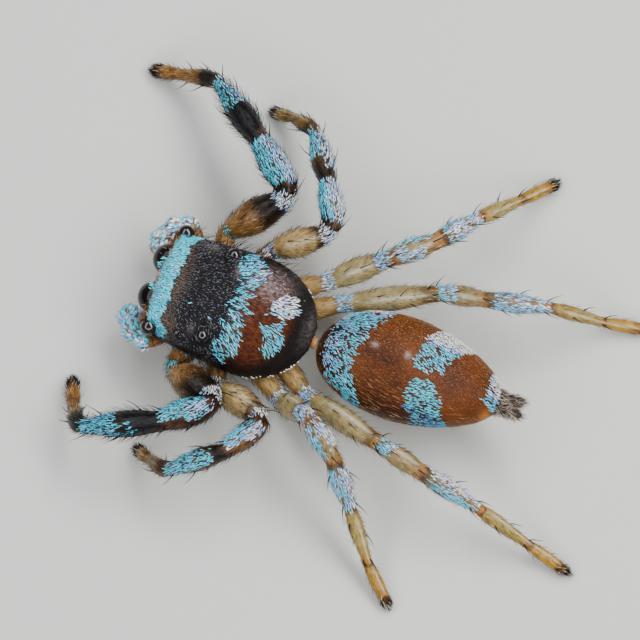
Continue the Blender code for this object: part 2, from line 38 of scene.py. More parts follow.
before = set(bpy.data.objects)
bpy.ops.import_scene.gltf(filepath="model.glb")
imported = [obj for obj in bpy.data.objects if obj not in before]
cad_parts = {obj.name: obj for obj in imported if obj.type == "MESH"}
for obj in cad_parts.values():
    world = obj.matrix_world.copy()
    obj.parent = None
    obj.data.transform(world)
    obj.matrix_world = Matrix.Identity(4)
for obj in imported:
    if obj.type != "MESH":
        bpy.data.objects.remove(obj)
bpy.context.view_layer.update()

MILLIMETRE = 0.001
UP = Vector((0.0, 0.0, 1.0))
SIDES = (("right", -1.0), ("left", 1.0))
RANDOM = np.random.default_rng(11)

# Head and thorax. Each station of the shield: y, half width, margin height, crown height
SHIELD_STATIONS = (
    (-0.03, 0.85, 1.24, 1.80),
    (0.05, 0.95, 1.18, 1.89),
    (0.20, 1.01, 1.16, 1.94),
    (0.65, 1.07, 1.14, 1.97),
    (1.15, 1.12, 1.13, 2.00),
    (1.60, 1.16, 1.13, 1.98),
    (2.00, 1.16, 1.13, 1.90),
    (2.38, 1.06, 1.13, 1.74),
    (2.70, 0.85, 1.15, 1.53),
    (2.92, 0.58, 1.21, 1.38),
    (3.06, 0.25, 1.25, 1.31),
)
SHIELD_ROWS = 110
SHIELD_SIDES = 132
SHIELD_CAP = 0.05  # share of the rows that close each end
SHIELD_FLOOR = 0.24  # share of the sides that lie under the shield
HEAD_SQUARENESS = 3.4
REAR_SQUARENESS = 2.2
COAT_DEPTH = 0.02  # how far the skin of the shield and the abdomen lies inside the solids
SCALES_LOWEST = 1.24  # the height above which the shield bears scales
SCALE_SPACING = 0.0245  # the least distance between scales on the abdomen and the legs
MERGE_DISTANCE = 0.0002  # points of a rolled skin that lie nearer are one

# Eyes: half distance apart, y, z, radius, radius of the swelling that carries it, how far that
# lies deeper
EYES = {
    "front_median": (0.39, 0.03, 1.53, 0.305, 0.0, 0.0),
    "front_lateral": (0.965, 0.15, 1.58, 0.165, 0.205, 0.093),
    "rear_median": (0.93, 0.69, 1.77, 0.05, 0.075, 0.035),
    "rear_lateral": (0.825, 1.17, 1.86, 0.145, 0.19, 0.09),
}
SWELL_REACH = 1.45  # how far a swelling is felt, in its own radii
SWELL_SHARPNESS = 14.0

# Jaws
JAW_APART = 0.235
JAW_HALF_WIDTH = 0.205
JAW_HALF_DEPTH = 0.20
JAW_TOP = 1.12
JAW_LENGTH = 0.665
JAW_DOME = 0.05  # how far the lower end bulges
JAW_LEAN = 0.11
JAW_ROOT_Y = 0.14
JAW_CAP = 0.08  # share of the rows that close each end
JAW_GIRTH = 0.97  # width of the skin as a share of the solid's

# Abdomen
ABDOMEN_CENTRE = (-0.056, 4.87, 1.30)
ABDOMEN_YAW = 2.7
ABDOMEN_PITCH = -3.5
ABDOMEN_FRONT = 1.72
ABDOMEN_REAR = 1.95
ABDOMEN_HALF_WIDTH = 1.02
ABDOMEN_UP = 0.78
ABDOMEN_DOWN = 0.72
ABDOMEN_FRONT_POWER = 2.3
ABDOMEN_REAR_POWER = 1.55
ABDOMEN_FRONT_DROP = 0.30
ABDOMEN_REAR_PAD = 0.20
ABDOMEN_ROWS = 90
ABDOMEN_SIDES = 96
ABDOMEN_SCALES_LOWEST = -0.20  # the height above its middle from which it bears scales

# Spinnerets: side offset, height offset, spread in degrees, lift in degrees, length, root radius
SPINNERETS = (
    (0.088, -0.052, 4.0, -10.0, 0.38, 0.100),
    (0.082, 0.062, 6.0, 5.0, 0.44, 0.098),
)
SPINNERET_CAP = 0.14
SPINNERET_GIRTH = 0.92

# Legs, as on the solids, with the widths of the skin under its coat
LEG_LENGTHS = {
    1: (1.52, 1.26, 1.63, 0.97, 0.58),
    2: (1.41, 1.04, 1.29, 0.73, 0.48),
    3: (1.34, 0.98, 1.06, 1.08, 0.91),
    4: (2.07, 0.87, 1.33, 1.21, 0.93),
}
# Widths of the skin: coxa, femur, patella, tibia, metatarsus, tarsus, claw pad
LEG_WIDTHS = {
    1: (0.44, 0.65, 0.54, 0.50, 0.32, 0.27, 0.22),
    2: (0.42, 0.54, 0.44, 0.42, 0.30, 0.25, 0.20),
    3: (0.42, 0.47, 0.43, 0.40, 0.30, 0.25, 0.20),
    4: (0.42, 0.46, 0.39, 0.38, 0.28, 0.24, 0.20),
}
CLAW_PAD_WIDTHS = {1: 0.30, 2: 0.28, 3: 0.27, 4: 0.27}
LEG_TALLNESS = {1: 1.10, 2: 1.06, 3: 1.0, 4: 1.0}
NECK = 0.78
SEGMENT_PEAK = (0.5, 0.45, 0.5, 0.4, 0.3, 0.35)
BEND_RADIUS = {"hip": 0.24, "knee": 0.30, "ankle": 0.22}
HIP = {
    1: (1.42, 0.77, 0.88),
    2: (1.40, 1.66, 0.84),
    3: (1.235, 2.90, 0.88),
    4: (0.945, 3.30, 0.80),
}
COXA_ROOT = {
    1: (0.50, 0.99, 0.80),
    2: (0.50, 1.42, 0.80),
    3: (0.50, 1.84, 0.80),
    4: (0.32, 2.34, 0.80),
}
LEG_POSE = {
    ("left", 1): ((71, 32), (-52, 1), (-70, -22), (-150, -50), -157),
    ("right", 1): ((45, 27), (-51, -1), (-52, -20), (-91, -37), -92),
    ("left", 2): ((71, 26), (-31, 10), (-57, -31), (-117, -49), -120),
    ("right", 2): ((60, 29), (-29, -7), (-33, -24), (-71, -39), -83),
    ("left", 3): ((63, 56), (55, -30), (43, -32), (41, -31), 48),
    ("right", 3): ((55, 29), (47, -4), (34, -24), (37, -30), 37),
    ("left", 4): ((71, 26), (81, -20), (83, -23), (80, -25), 79),
    ("right", 4): ((69, 25), (70, -29), (73, -12), (75, -34), 75),
}
SOLE_SHARE = 0.32
LEG_SIDES = 20
LEG_ROWS = 150
LIMB_CAP = 0.025
TIP_REACH = 0.30  # how far a limb's skin goes past its path, as a share of its last width
# Hairs to the square millimetre: the short ones that lie close, and the long raised ones
LEG_DOWN = {1: 260.0, 2: 200.0, 3: 200.0, 4: 180.0}
LEG_LONG_HAIRS = {1: 260.0, 2: 170.0, 3: 90.0, 4: 70.0}

# Palps
PALP_POINTS = {
    "right": ((0.50, 0.50, 0.76), (1.26, 0.30, 0.93), (1.27, -0.04, 0.95), (1.06, -0.24, 0.82),
              (0.74, -0.34, 0.52)),
    "left": ((0.50, 0.50, 0.76), (1.10, 0.30, 0.90), (1.07, -0.06, 0.92), (0.86, -0.26, 0.80),
             (0.56, -0.38, 0.50)),
}
PALP_WIDTHS = (0.26, 0.34, 0.41, 0.45, 0.30)
PALP_BEND_RADIUS = 0.25

# Where scales lie on each pair of legs: first and last place along the leg, where 0 to 1 is the
# coxa, 1 to 2 the femur, 2 to 3 the patella and 3 to 4 the tibia; from which angle to which
# round it, where 0 is on top, 90 on the front side and -90 on the rear side; the share of the
# places that they fill; their tone, from deep turquoise to white
LEG_SCALES = {
    1: ((0.35, 0.62, -50, 60, 1.2, 0.52), (0.90, 1.08, -70, 70, 0.9, 0.46),
        (1.84, 1.98, -80, 150, 1.0, 0.86), (2.12, 2.50, -45, 120, 0.95, 0.52),
        (2.50, 2.95, -22, 120, 0.95, 0.50), (3.47, 3.94, -75, 110, 0.78, 0.56),
        (3.22, 3.47, -70, -20, 0.30, 0.50)),
    2: ((0.84, 1.12, -80, 80, 1.2, 0.80), (1.86, 1.98, -80, 150, 1.0, 0.90),
        (2.12, 2.50, -50, 130, 0.95, 0.58), (2.50, 2.94, -25, 130, 0.95, 0.56),
        (3.12, 3.35, -60, 40, 0.6, 0.56), (3.35, 3.94, -75, 130, 0.72, 0.58)),
    3: ((0.88, 1.12, -80, 80, 1.2, 0.78), (1.80, 1.99, -70, 80, 1.1, 0.74),
        (2.09, 2.30, -80, 80, 0.8, 0.64), (2.30, 2.86, 28, 85, 0.9, 0.60),
        (2.30, 2.66, -80, -12, 0.9, 0.76), (3.12, 3.94, -80, 85, 0.85, 0.66)),
    4: ((0.88, 1.10, -80, 80, 1.1, 0.70), (1.95, 2.16, -70, 60, 0.9, 0.54),
        (3.08, 3.94, -85, -4, 0.92, 0.70), (3.14, 3.90, 8, 80, 0.85, 0.58)),
}
LEG_ROLL = {("right", 1): -45, ("right", 2): -45}  # degrees by which a leg is rolled rearward


def drawing_shift():
    """How far the drawing lies from the frame, read from the left front eye."""
    low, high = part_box("eye_front_median_left")
    apart, y, z = EYES["front_median"][:3]
    return (low + high) / (2.0 * MILLIMETRE) - Vector((apart, y, z))


SHIFT = drawing_shift()


def finish_piece(name, mesh, material, replaces=()):
    """Brings a mesh from the drawing to the frame, hangs it on the root body and hides the parts that it
    replaces.
    """
    mesh.name = name
    mesh.transform(Matrix.Scale(MILLIMETRE, 4) @ Matrix.Translation(SHIFT))
    mesh.materials.clear()
    mesh.materials.append(material)
    mesh.shade_smooth()
    piece = bpy.data.objects.new(name, mesh)
    bpy.context.scene.collection.objects.link(piece)
    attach(piece, "root")
    if replaces:
        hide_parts(*replaces)
    return piece


# Shapes that many pieces share


def rolled(rows, sides, place):
    """A closed skin: a sheet rolled up by place(along, around), both from 0 to 1."""
    bm = bmesh.new()
    bm.loops.layers.uv.new("skin")
    bmesh.ops.create_grid(bm, x_segments=rows, y_segments=sides, size=0.5, calc_uvs=True)
    along = bm.verts.layers.float.new("along")
    for vert in bm.verts:
        reach = vert.co.x + 0.5
        vert[along] = reach
        vert.co = place(reach, vert.co.y + 0.5)
    bmesh.ops.remove_doubles(bm, verts=bm.verts[:], dist=MERGE_DISTANCE)
    bmesh.ops.recalc_face_normals(bm, faces=bm.faces[:])
    return bm


def closing(along, cap):
    """How wide a rolled skin is near its two ends, from 0 at an end to 1."""
    return math.sin(0.5 * math.pi * min(min(along, 1.0 - along) / cap, 1.0))


def to_mesh(bm):
    mesh = bpy.data.meshes.new("skin")
    bm.to_mesh(mesh)
    bm.free()
    return mesh


def read_row(count, width, fill):
    row = np.zeros(count * width, np.float32)
    fill(row)
    return row.reshape(count, width) if width > 1 else row


def paint(mesh, name, values):
    """Keeps one number for each point of a mesh, for its material to read."""
    layer = mesh.attributes.new(name, "FLOAT", "POINT")
    layer.data.foreach_set("value", np.ascontiguousarray(values, np.float32))


def take_reading(mesh, name):
    """The numbers that a mesh keeps under a name, which it then gives up."""
    layer = mesh.attributes[name]
    values = read_row(len(mesh.vertices), 1, lambda row: layer.data.foreach_get("value", row))
    mesh.attributes.remove(layer)
    return values


def vertex_normals(mesh):
    return read_row(len(mesh.vertices), 3, lambda row: mesh.vertices.foreach_get("normal", row))


def mesh_points(mesh):
    return read_row(len(mesh.vertices), 3, lambda row: mesh.vertices.foreach_get("co", row)).astype(float)


def ease(share):
    return 0.5 - 0.5 * math.cos(math.pi * min(max(share, 0.0), 1.0))


def smooth_step(low, high, values):
    share = within_one((values - low) / (high - low))
    return share * share * (3.0 - 2.0 * share)


def smooth_row(rows, index, share):
    """A value between two rows of stations, on a curve that passes through all of them."""
    before = rows[max(index - 1, 0)]
    start = rows[index]
    end = rows[index + 1]
    after = rows[min(index + 2, len(rows) - 1)]
    values = []
    for p0, p1, p2, p3 in zip(before, start, end, after):
        square = share * share
        bend = 2.0 * p0 - 5.0 * p1 + 4.0 * p2 - p3
        turn = 3.0 * p1 - p0 - 3.0 * p2 + p3
        values.append(0.5 * (2.0 * p1 + (p2 - p0) * share + bend * square + turn * square * share))
    return values


def inside(points, outline):
    """Which points of a plan lie within an outline."""
    x, y = points[:, 0], points[:, 1]
    within = np.zeros(len(points), bool)
    for (ax, ay), (bx, by) in zip(outline, outline[1:] + outline[:1]):
        if ay == by:
            continue
        crosses = (ay > y) != (by > y)
        within ^= crosses & (x < (bx - ax) * (y - ay) / (by - ay) + ax)
    return within


# Scales and hairs: one small shape, laid many times on a skin


class Ground:
    """The triangles of a skin, on which scales and hairs are set."""

    def __init__(self, mesh):
        mesh.calc_loop_triangles()
        count = len(mesh.loop_triangles)
        corners = np.zeros(count * 3, np.int32)
        loops = np.zeros(count * 3, np.int32)
        mesh.loop_triangles.foreach_get("vertices", corners)
        mesh.loop_triangles.foreach_get("loops", loops)
        points = mesh_points(mesh)
        normals = vertex_normals(mesh)
        layer = mesh.uv_layers["skin"].data
        unwrap = read_row(len(layer), 2, lambda row: layer.foreach_get("uv", row))
        self.points = points[corners].reshape(count, 3, 3)
        self.normals = normals[corners].reshape(count, 3, 3)
        self.unwrap = unwrap[loops].reshape(count, 3, 2)
        cross = np.cross(self.points[:, 1] - self.points[:, 0], self.points[:, 2] - self.points[:, 0])
        self.area = 0.5 * np.linalg.norm(cross, axis=1)

    def spots(self, per_square_mm, spacing=0.0, keep=None):
        """Random places: points, normals and places on the unwrapped skin."""
        total = int(self.area.sum() * per_square_mm)
        chosen = RANDOM.choice(len(self.area), total, p=self.area / self.area.sum())
        first = np.sqrt(RANDOM.random(total))
        second = RANDOM.random(total)
        shares = np.stack([1.0 - first, first * (1.0 - second), first * second], axis=1)[:, :, None]
        points = (self.points[chosen] * shares).sum(axis=1)
        normals = (self.normals[chosen] * shares).sum(axis=1)
        normals /= np.linalg.norm(normals, axis=1, keepdims=True) + 1e-9
        spots = (points, normals, (self.unwrap[chosen] * shares).sum(axis=1))
        if keep is not None:
            spots = picked(spots, RANDOM.random(total) < keep(*spots))
        if spacing:
            spots = picked(spots, thin_out(spots[0], spacing))
        return spots


def picked(spots, chosen):
    """Some of the places, by a mask or by their numbers."""
    return tuple(values[chosen] for values in spots)


def thin_out(points, spacing):
    """Leaves out the places that crowd an earlier one."""
    tree = kdtree.KDTree(len(points))
    for index, point in enumerate(points):
        tree.insert(point, index)
    tree.balance()
    crowded = np.zeros(len(points), bool)
    kept = []
    for index, point in enumerate(points):
        if crowded[index]:
            continue
        kept.append(index)
        for _, neighbour, _ in tree.find_range(point, spacing):
            crowded[neighbour] = True
    return kept


def small_shape(stops, sides):
    """A scale or a hair one unit long, from places along it and its half width there."""
    last = len(stops) - 1

    def place(along, around):
        reach, half = stops[round(along * last)]
        angle = 2.0 * math.pi * around
        return Vector((reach, 0.5 * half * math.cos(angle), 0.5 * half * math.sin(angle)))

    return to_mesh(rolled(last, sides, place))


def laid(shape, spots, heading, length, width, depth, curl, tone):
    """One mesh of many copies of a shape, each on its own spot and pointing its own way."""
    roots, normals, unwrap = spots
    count = len(roots)
    tips = mesh_points(shape)
    length = np.broadcast_to(length, count)
    heading = heading / (np.linalg.norm(heading, axis=1, keepdims=True) + 1e-9)
    lowest = -roots[:, 2] / length
    highest = np.maximum((CEILING - roots[:, 2]) / length, 0.0)
    heading[:, 2] = np.clip(heading[:, 2], lowest, highest)
    side = np.cross(normals, heading)
    side /= np.linalg.norm(side, axis=1, keepdims=True) + 1e-9
    rise = np.cross(heading, side)
    reach = tips[None, :, 0:1]
    length = length[:, None, None]
    width = np.broadcast_to(width, count)[:, None, None]
    depth = np.broadcast_to(depth, count)[:, None, None]
    curl = np.broadcast_to(curl, count)[:, None, None]
    points = roots[:, None, :] + heading[:, None, :] * length * reach
    points = points + side[:, None, :] * width * tips[None, :, 1:2]
    points = points + rise[:, None, :] * (depth * tips[None, :, 2:3] - curl * length * reach ** 2)
    points[:, :, 2] = np.maximum(points[:, :, 2], 0.0)
    face_count = len(shape.polygons)
    loop_count = len(shape.loops)
    corners = np.zeros(loop_count, np.int32)
    starts = np.zeros(face_count, np.int32)
    shape.loops.foreach_get("vertex_index", corners)
    shape.polygons.foreach_get("loop_start", starts)
    each = np.arange(count)[:, None]
    mesh = bpy.data.meshes.new("coat")
    mesh.vertices.add(count * len(tips))
    mesh.loops.add(count * loop_count)
    mesh.polygons.add(count * face_count)
    mesh.vertices.foreach_set("co", points.astype(np.float32).ravel())
    mesh.loops.foreach_set("vertex_index", (corners[None] + each * len(tips)).astype(np.int32).ravel())
    mesh.polygons.foreach_set("loop_start", (starts[None] + each * loop_count).astype(np.int32).ravel())
    mesh.update(calc_edges=True)
    patch = (tips[corners][:, :2] - (0.5, 0.0)) * BAKE_PATCH
    layer = mesh.uv_layers.new(name="OFBake")
    layer.data.foreach_set("uv", (unwrap[:, None, :] + patch[None]).astype(np.float32).ravel())
    paint(mesh, "tone", np.repeat(np.broadcast_to(tone, count), len(tips)))
    paint(mesh, "reach", np.tile(tips[:, 0], count))
    mesh.validate()
    return mesh


BAKE_PATCH = 0.003
CEILING = 2.12  # no hair rises above this height
SCALE_SHAPE = small_shape(((0.0, 0.0), (0.28, 0.95), (0.72, 0.85), (1.0, 0.0)), 6)
HAIR_SHAPE = small_shape(((0.0, 0.0), (0.01, 1.0), (0.55, 0.62), (1.0, 0.0)), 3)
FINE_HAIR_SHAPE = small_shape(((0.0, 0.0), (0.3, 1.0), (1.0, 0.0)), 3)
BRISTLE_SHAPE = small_shape(((0.0, 0.0), (0.01, 1.0), (0.25, 0.9), (0.5, 0.7), (0.78, 0.42), (1.0, 0.0)), 5)


def along_skin(field, spots, stray, lift):
    """Headings that follow a field over the skin, with some stray, raised by lift degrees."""
    normals = spots[1]
    flat = field - normals * (field * normals).sum(axis=1, keepdims=True)
    flat /= np.linalg.norm(flat, axis=1, keepdims=True) + 1e-9
    across = np.cross(normals, flat)
    turn = np.radians(RANDOM.normal(0.0, stray, len(normals)))[:, None]
    raised = np.radians(lift * RANDOM.uniform(0.7, 1.3, len(normals)))[:, None]
    turned = flat * np.cos(turn) + across * np.sin(turn)
    return turned * np.cos(raised) + normals * np.sin(raised)


def spread(spots, middle, share):
    """Sizes round a middle one, one for each spot."""
    return middle * RANDOM.uniform(1.0 - share, 1.0 + share, len(spots[0]))


def chance(spots):
    """A number from 0 to 1 for each spot."""
    return RANDOM.random(len(spots[0]))


def scattered(spots, middle, stray):
    """Numbers scattered round a middle one, one for each spot."""
    return RANDOM.normal(middle, stray, len(spots[0]))


def within_one(values):
    return np.clip(values, 0.0, 1.0)


def join_coats(meshes):
    """Several coats as one mesh."""
    bm = bmesh.new()
    for mesh in meshes:
        bm.from_mesh(mesh)
        bpy.data.meshes.remove(mesh)
    return to_mesh(bm)


# Materials


def new_material(name):
    material = bpy.data.materials.new(name)
    material.use_nodes = True
    return material, material.node_tree, material.node_tree.nodes["Principled BSDF"]


def add_node(tree, kind, **settings):
    node = tree.nodes.new(kind)
    for key, value in settings.items():
        setattr(node, key, value)
    return node


def link(tree, source, target):
    tree.links.new(source, target)


def reading(tree, name):
    """A number that the mesh keeps for each of its points."""
    return add_node(tree, "ShaderNodeAttribute", attribute_name=name).outputs["Fac"]


def set_surface(tree, shader, colour, roughness, gloss=0.5):
    link(tree, colour, shader.inputs["Base Color"])
    shader.inputs["Roughness"].default_value = roughness
    shader.inputs["Specular IOR Level"].default_value = gloss


def ramp(tree, source, stops):
    """Colours by a number from 0 to 1, where one number stands for a grey."""
    node = add_node(tree, "ShaderNodeValToRGB")
    elements = node.color_ramp.elements
    while len(elements) < len(stops):
        elements.new(1.0)
    for element, (position, _) in zip(elements, stops):
        element.position = position
    for element, (_, colour) in zip(elements, stops):
        element.color = (*colour, 1.0) if isinstance(colour, tuple) else (colour, colour, colour, 1.0)
    link(tree, source, node.inputs["Fac"])
    return node.outputs["Color"]


def blend_colours(tree, share, first, second):
    node = add_node(tree, "ShaderNodeMix", data_type="RGBA")
    for socket, value in ((0, share), (6, first), (7, second)):
        if isinstance(value, (int, float)):
            node.inputs[socket].default_value = value
        elif isinstance(value, tuple):
            node.inputs[socket].default_value = (*value, 1.0)
        else:
            link(tree, value, node.inputs[socket])
    return node.outputs[2]


def reckon(tree, operation, first, second=0.0):
    node = add_node(tree, "ShaderNodeMath", operation=operation)
    for socket, value in ((0, first), (1, second)):
        if isinstance(value, (int, float)):
            node.inputs[socket].default_value = value
        else:
            link(tree, value, node.inputs[socket])
    return node.outputs[0]


def build_mottling():
    """Cloudy and grainy patches at a size in millimetres."""
    group = bpy.data.node_groups.new("mottling", "ShaderNodeTree")
    face = group.interface
    for name, value in (("Per mm", 3.0), ("Stretch", 1.0), ("Low", 0.35), ("High", 0.65)):
        socket = face.new_socket(name, in_out="INPUT", socket_type="NodeSocketFloat")
        socket.default_value = value
    face.new_socket("Mask", in_out="OUTPUT", socket_type="NodeSocketFloat")
    start = add_node(group, "NodeGroupInput")
    end = add_node(group, "NodeGroupOutput")
    place = add_node(group, "ShaderNodeTexCoord")
    sizes = add_node(group, "ShaderNodeCombineXYZ")
    link(group, start.outputs["Stretch"], sizes.inputs["X"])
    sizes.inputs["Y"].default_value = 1.0
    link(group, start.outputs["Stretch"], sizes.inputs["Z"])
    stretched = add_node(group, "ShaderNodeVectorMath", operation="MULTIPLY")
    link(group, place.outputs["Object"], stretched.inputs[0])
    link(group, sizes.outputs[0], stretched.inputs[1])
    scaled = add_node(group, "ShaderNodeVectorMath", operation="SCALE")
    link(group, stretched.outputs[0], scaled.inputs[0])
    scaled.inputs["Scale"].default_value = 1.0 / MILLIMETRE
    noise = add_node(group, "ShaderNodeTexNoise")
    noise.inputs["Detail"].default_value = 4.0
    link(group, scaled.outputs[0], noise.inputs["Vector"])
    link(group, start.outputs["Per mm"], noise.inputs["Scale"])
    span = add_node(group, "ShaderNodeMapRange", interpolation_type="SMOOTHSTEP")
    link(group, noise.outputs["Fac"], span.inputs["Value"])
    link(group, start.outputs["Low"], span.inputs["From Min"])
    link(group, start.outputs["High"], span.inputs["From Max"])
    link(group, span.outputs["Result"], end.inputs["Mask"])
    return group


MOTTLING = build_mottling()


def mottling(tree, per_mm, stretch=1.0, low=0.35, high=0.65):
    node = add_node(tree, "ShaderNodeGroup", node_tree=MOTTLING)
    for name, value in (("Per mm", per_mm), ("Stretch", stretch), ("Low", low), ("High", high)):
        node.inputs[name].default_value = value
    return node.outputs["Mask"]


def raise_relief(tree, shader, height, depth_mm, strength=0.6):
    bump = add_node(tree, "ShaderNodeBump")
    bump.inputs["Strength"].default_value = strength
    bump.inputs["Distance"].default_value = depth_mm * MILLIMETRE
    link(tree, height, bump.inputs["Height"])
    link(tree, bump.outputs["Normal"], shader.inputs["Normal"])


def scale_finish():
    """Glittering scales: deep turquoise, turquoise, sky blue, lavender, white, with a painted glint towards
    each tip.
    """
    material, tree, shader = new_material("turquoise scales")
    tones = ramp(tree, reading(tree, "tone"), (
        (0.0, (0.0, 0.04, 0.14)),
        (0.14, (0.0, 0.18, 0.52)),
        (0.26, (0.0, 0.38, 0.66)),
        (0.38, (0.0, 0.60, 0.64)),
        (0.50, (0.0, 0.72, 0.94)),
        (0.62, (0.02, 0.66, 1.0)),
        (0.73, (0.20, 0.48, 1.0)),
        (0.84, (0.56, 0.58, 1.0)),
        (0.94, (1.0, 1.0, 1.0)),
    ))
    # Painted glint: each scale is painted paler cyan towards its tip.
    painted_tip_glint = ramp(tree, reading(tree, "reach"), ((0.0, 0.0), (0.5, 0.04), (1.0, 0.35)))
    set_surface(tree, shader, blend_colours(tree, painted_tip_glint, tones, (0.55, 1.0, 1.0)), 0.24, 0.42)
    shader.inputs["Metallic"].default_value = 0.12
    return material


def hair_finish():
    """Hairs and bristles: black, brown, red-brown, golden, white."""
    material, tree, shader = new_material("hairs")
    tones = ramp(tree, reading(tree, "tone"), (
        (0.0, (0.002, 0.002, 0.003)),
        (0.25, (0.014, 0.008, 0.007)),
        (0.45, (0.10, 0.024, 0.006)),
        (0.65, (0.46, 0.19, 0.05)),
        (0.82, (0.80, 0.58, 0.33)),
        (1.0, (0.95, 0.94, 0.88)),
    ))
    set_surface(tree, shader, tones, 0.34, 0.12)
    return material


def head_hair_finish():
    """Short hairs of the head: black, each with a painted pale grey gleam along its middle, and brown-grey
    in front.
    """
    material, tree, shader = new_material("head hairs")
    # Painted gleam: each hair is painted paler along its middle, a painted highlight.
    painted_gleam = ramp(tree, reading(tree, "reach"), ((0.0, 0.0), (0.12, 0.05), (0.3, 1.0),
                                                (0.85, 1.0), (1.0, 0.0)))
    tones = ramp(tree, reading(tree, "tone"), (
        (0.0, (0.002, 0.002, 0.003)),
        (0.5, (0.05, 0.036, 0.030)),
        (1.0, (0.20, 0.15, 0.12)),
    ))
    # Colours of the painted gleam: pale grey for the hairs of tone 0, paler brown-grey for the warm ones.
    pale = ramp(tree, reading(tree, "tone"), (
        (0.0, (0.27, 0.28, 0.33)),
        (0.10, (0.024, 0.026, 0.036)),
        (0.5, (0.20, 0.155, 0.135)),
        (1.0, (0.30, 0.23, 0.19)),
    ))
    set_surface(tree, shader, blend_colours(tree, painted_gleam, tones, pale), 0.32, 0.12)
    return material


def eye_finish(name, gloss, coat):
    """Smooth black eyes."""
    material, tree, shader = new_material(name)
    colour = blend_colours(tree, mottling(tree, 2.0), (0.004, 0.003, 0.004), (0.012, 0.008, 0.008))
    set_surface(tree, shader, colour, 0.05, gloss)
    shader.inputs["Coat Weight"].default_value = coat
    shader.inputs["Coat Roughness"].default_value = 0.02
    return material


def horn_finish(name, dark, light, roughness):
    """Horny skin in two shades with a fine grain."""
    material, tree, shader = new_material(name)
    set_surface(tree, shader, blend_colours(tree, mottling(tree, 3.5), dark, light), roughness)
    raise_relief(tree, shader, mottling(tree, 28.0, low=0.2, high=0.8), 0.006)
    return material


def shield_finish():
    """The shield: black grained head, red-brown thorax, turquoise ground under the front scales."""
    material, tree, shader = new_material("shield")
    streaks = mottling(tree, 9.0, stretch=3.0)
    clouds = mottling(tree, 2.2)
    grain = mottling(tree, 34.0, low=0.3, high=0.7)
    russet = blend_colours(tree, streaks, (0.030, 0.006, 0.002), (0.105, 0.022, 0.004))
    dark = blend_colours(tree, clouds, (0.002, 0.002, 0.002), (0.008, 0.005, 0.004))
    colour = blend_colours(tree, reading(tree, "russet"), dark, russet)
    head = blend_colours(tree, grain, (0.001, 0.001, 0.002), (0.010, 0.010, 0.013))
    colour = blend_colours(tree, reading(tree, "head"), colour, head)
    warm = blend_colours(tree, grain, (0.010, 0.007, 0.006), (0.09, 0.064, 0.050))
    colour = blend_colours(tree, reading(tree, "warm"), colour, warm)
    # Painted sheen: pale pinkish-grey highlights painted into the skin's colour.
    painted_sheen = blend_colours(tree, streaks, (0.07, 0.050, 0.052), (0.27, 0.215, 0.225))
    colour = blend_colours(tree, reading(tree, "painted_sheen"), colour, painted_sheen)
    colour = blend_colours(tree, reading(tree, "scaled"), colour, (0.004, 0.15, 0.17))
    set_surface(tree, shader, colour, 0.36, 0.12)
    ridges = reckon(tree, "MULTIPLY", ridge_rows(tree, 13.0), reading(tree, "head"))
    raise_relief(tree, shader, reckon(tree, "ADD", grain, ridges), 0.012, 0.8)
    return material


def ridge_rows(tree, per_mm):
    """Fine wavy ridges that run across the head."""
    place = add_node(tree, "ShaderNodeTexCoord")
    wave = add_node(tree, "ShaderNodeTexWave", wave_type="BANDS", bands_direction="Y")
    wave.inputs["Scale"].default_value = per_mm / (MILLIMETRE * 2.0 * math.pi)
    wave.inputs["Distortion"].default_value = 5.0
    wave.inputs["Detail"].default_value = 2.0
    wave.inputs["Detail Scale"].default_value = 0.6
    link(tree, place.outputs["Object"], wave.inputs["Vector"])
    return wave.outputs["Fac"]


def abdomen_finish():
    """Chestnut skin, brighter in clouds, dark along the middle in front and on the left flank."""
    material, tree, shader = new_material("abdomen skin")
    streaks = mottling(tree, 11.0, stretch=3.5)
    clouds = mottling(tree, 1.3, low=0.3, high=0.7)
    flecks = mottling(tree, 26.0, stretch=1.6, low=0.52, high=0.72)
    chestnut = blend_colours(tree, clouds, (0.034, 0.006, 0.001), (0.115, 0.024, 0.002))
    chestnut = blend_colours(tree, reckon(tree, "MULTIPLY", streaks, 0.35), chestnut, (0.15, 0.042, 0.006))
    chestnut = blend_colours(tree, reckon(tree, "MULTIPLY", flecks, 0.45), chestnut, (0.28, 0.115, 0.035))
    dark = blend_colours(tree, streaks, (0.008, 0.002, 0.001), (0.028, 0.007, 0.002))
    colour = blend_colours(tree, reading(tree, "dark"), chestnut, dark)
    # Painted sheen: pale highlights painted on two spots of the sigilla.
    colour = blend_colours(tree, reading(tree, "painted_sheen"), colour, (0.42, 0.33, 0.33))
    colour = blend_colours(tree, reading(tree, "orange"), colour, (0.60, 0.19, 0.02))
    colour = blend_colours(tree, reading(tree, "scaled"), colour, (0.02, 0.012, 0.016))
    colour = blend_colours(tree, reading(tree, "under"), colour, (0.26, 0.17, 0.08))
    set_surface(tree, shader, colour, 0.38, 0.16)
    raise_relief(tree, shader, mottling(tree, 26.0, stretch=1.8, low=0.25, high=0.75), 0.008)
    return material


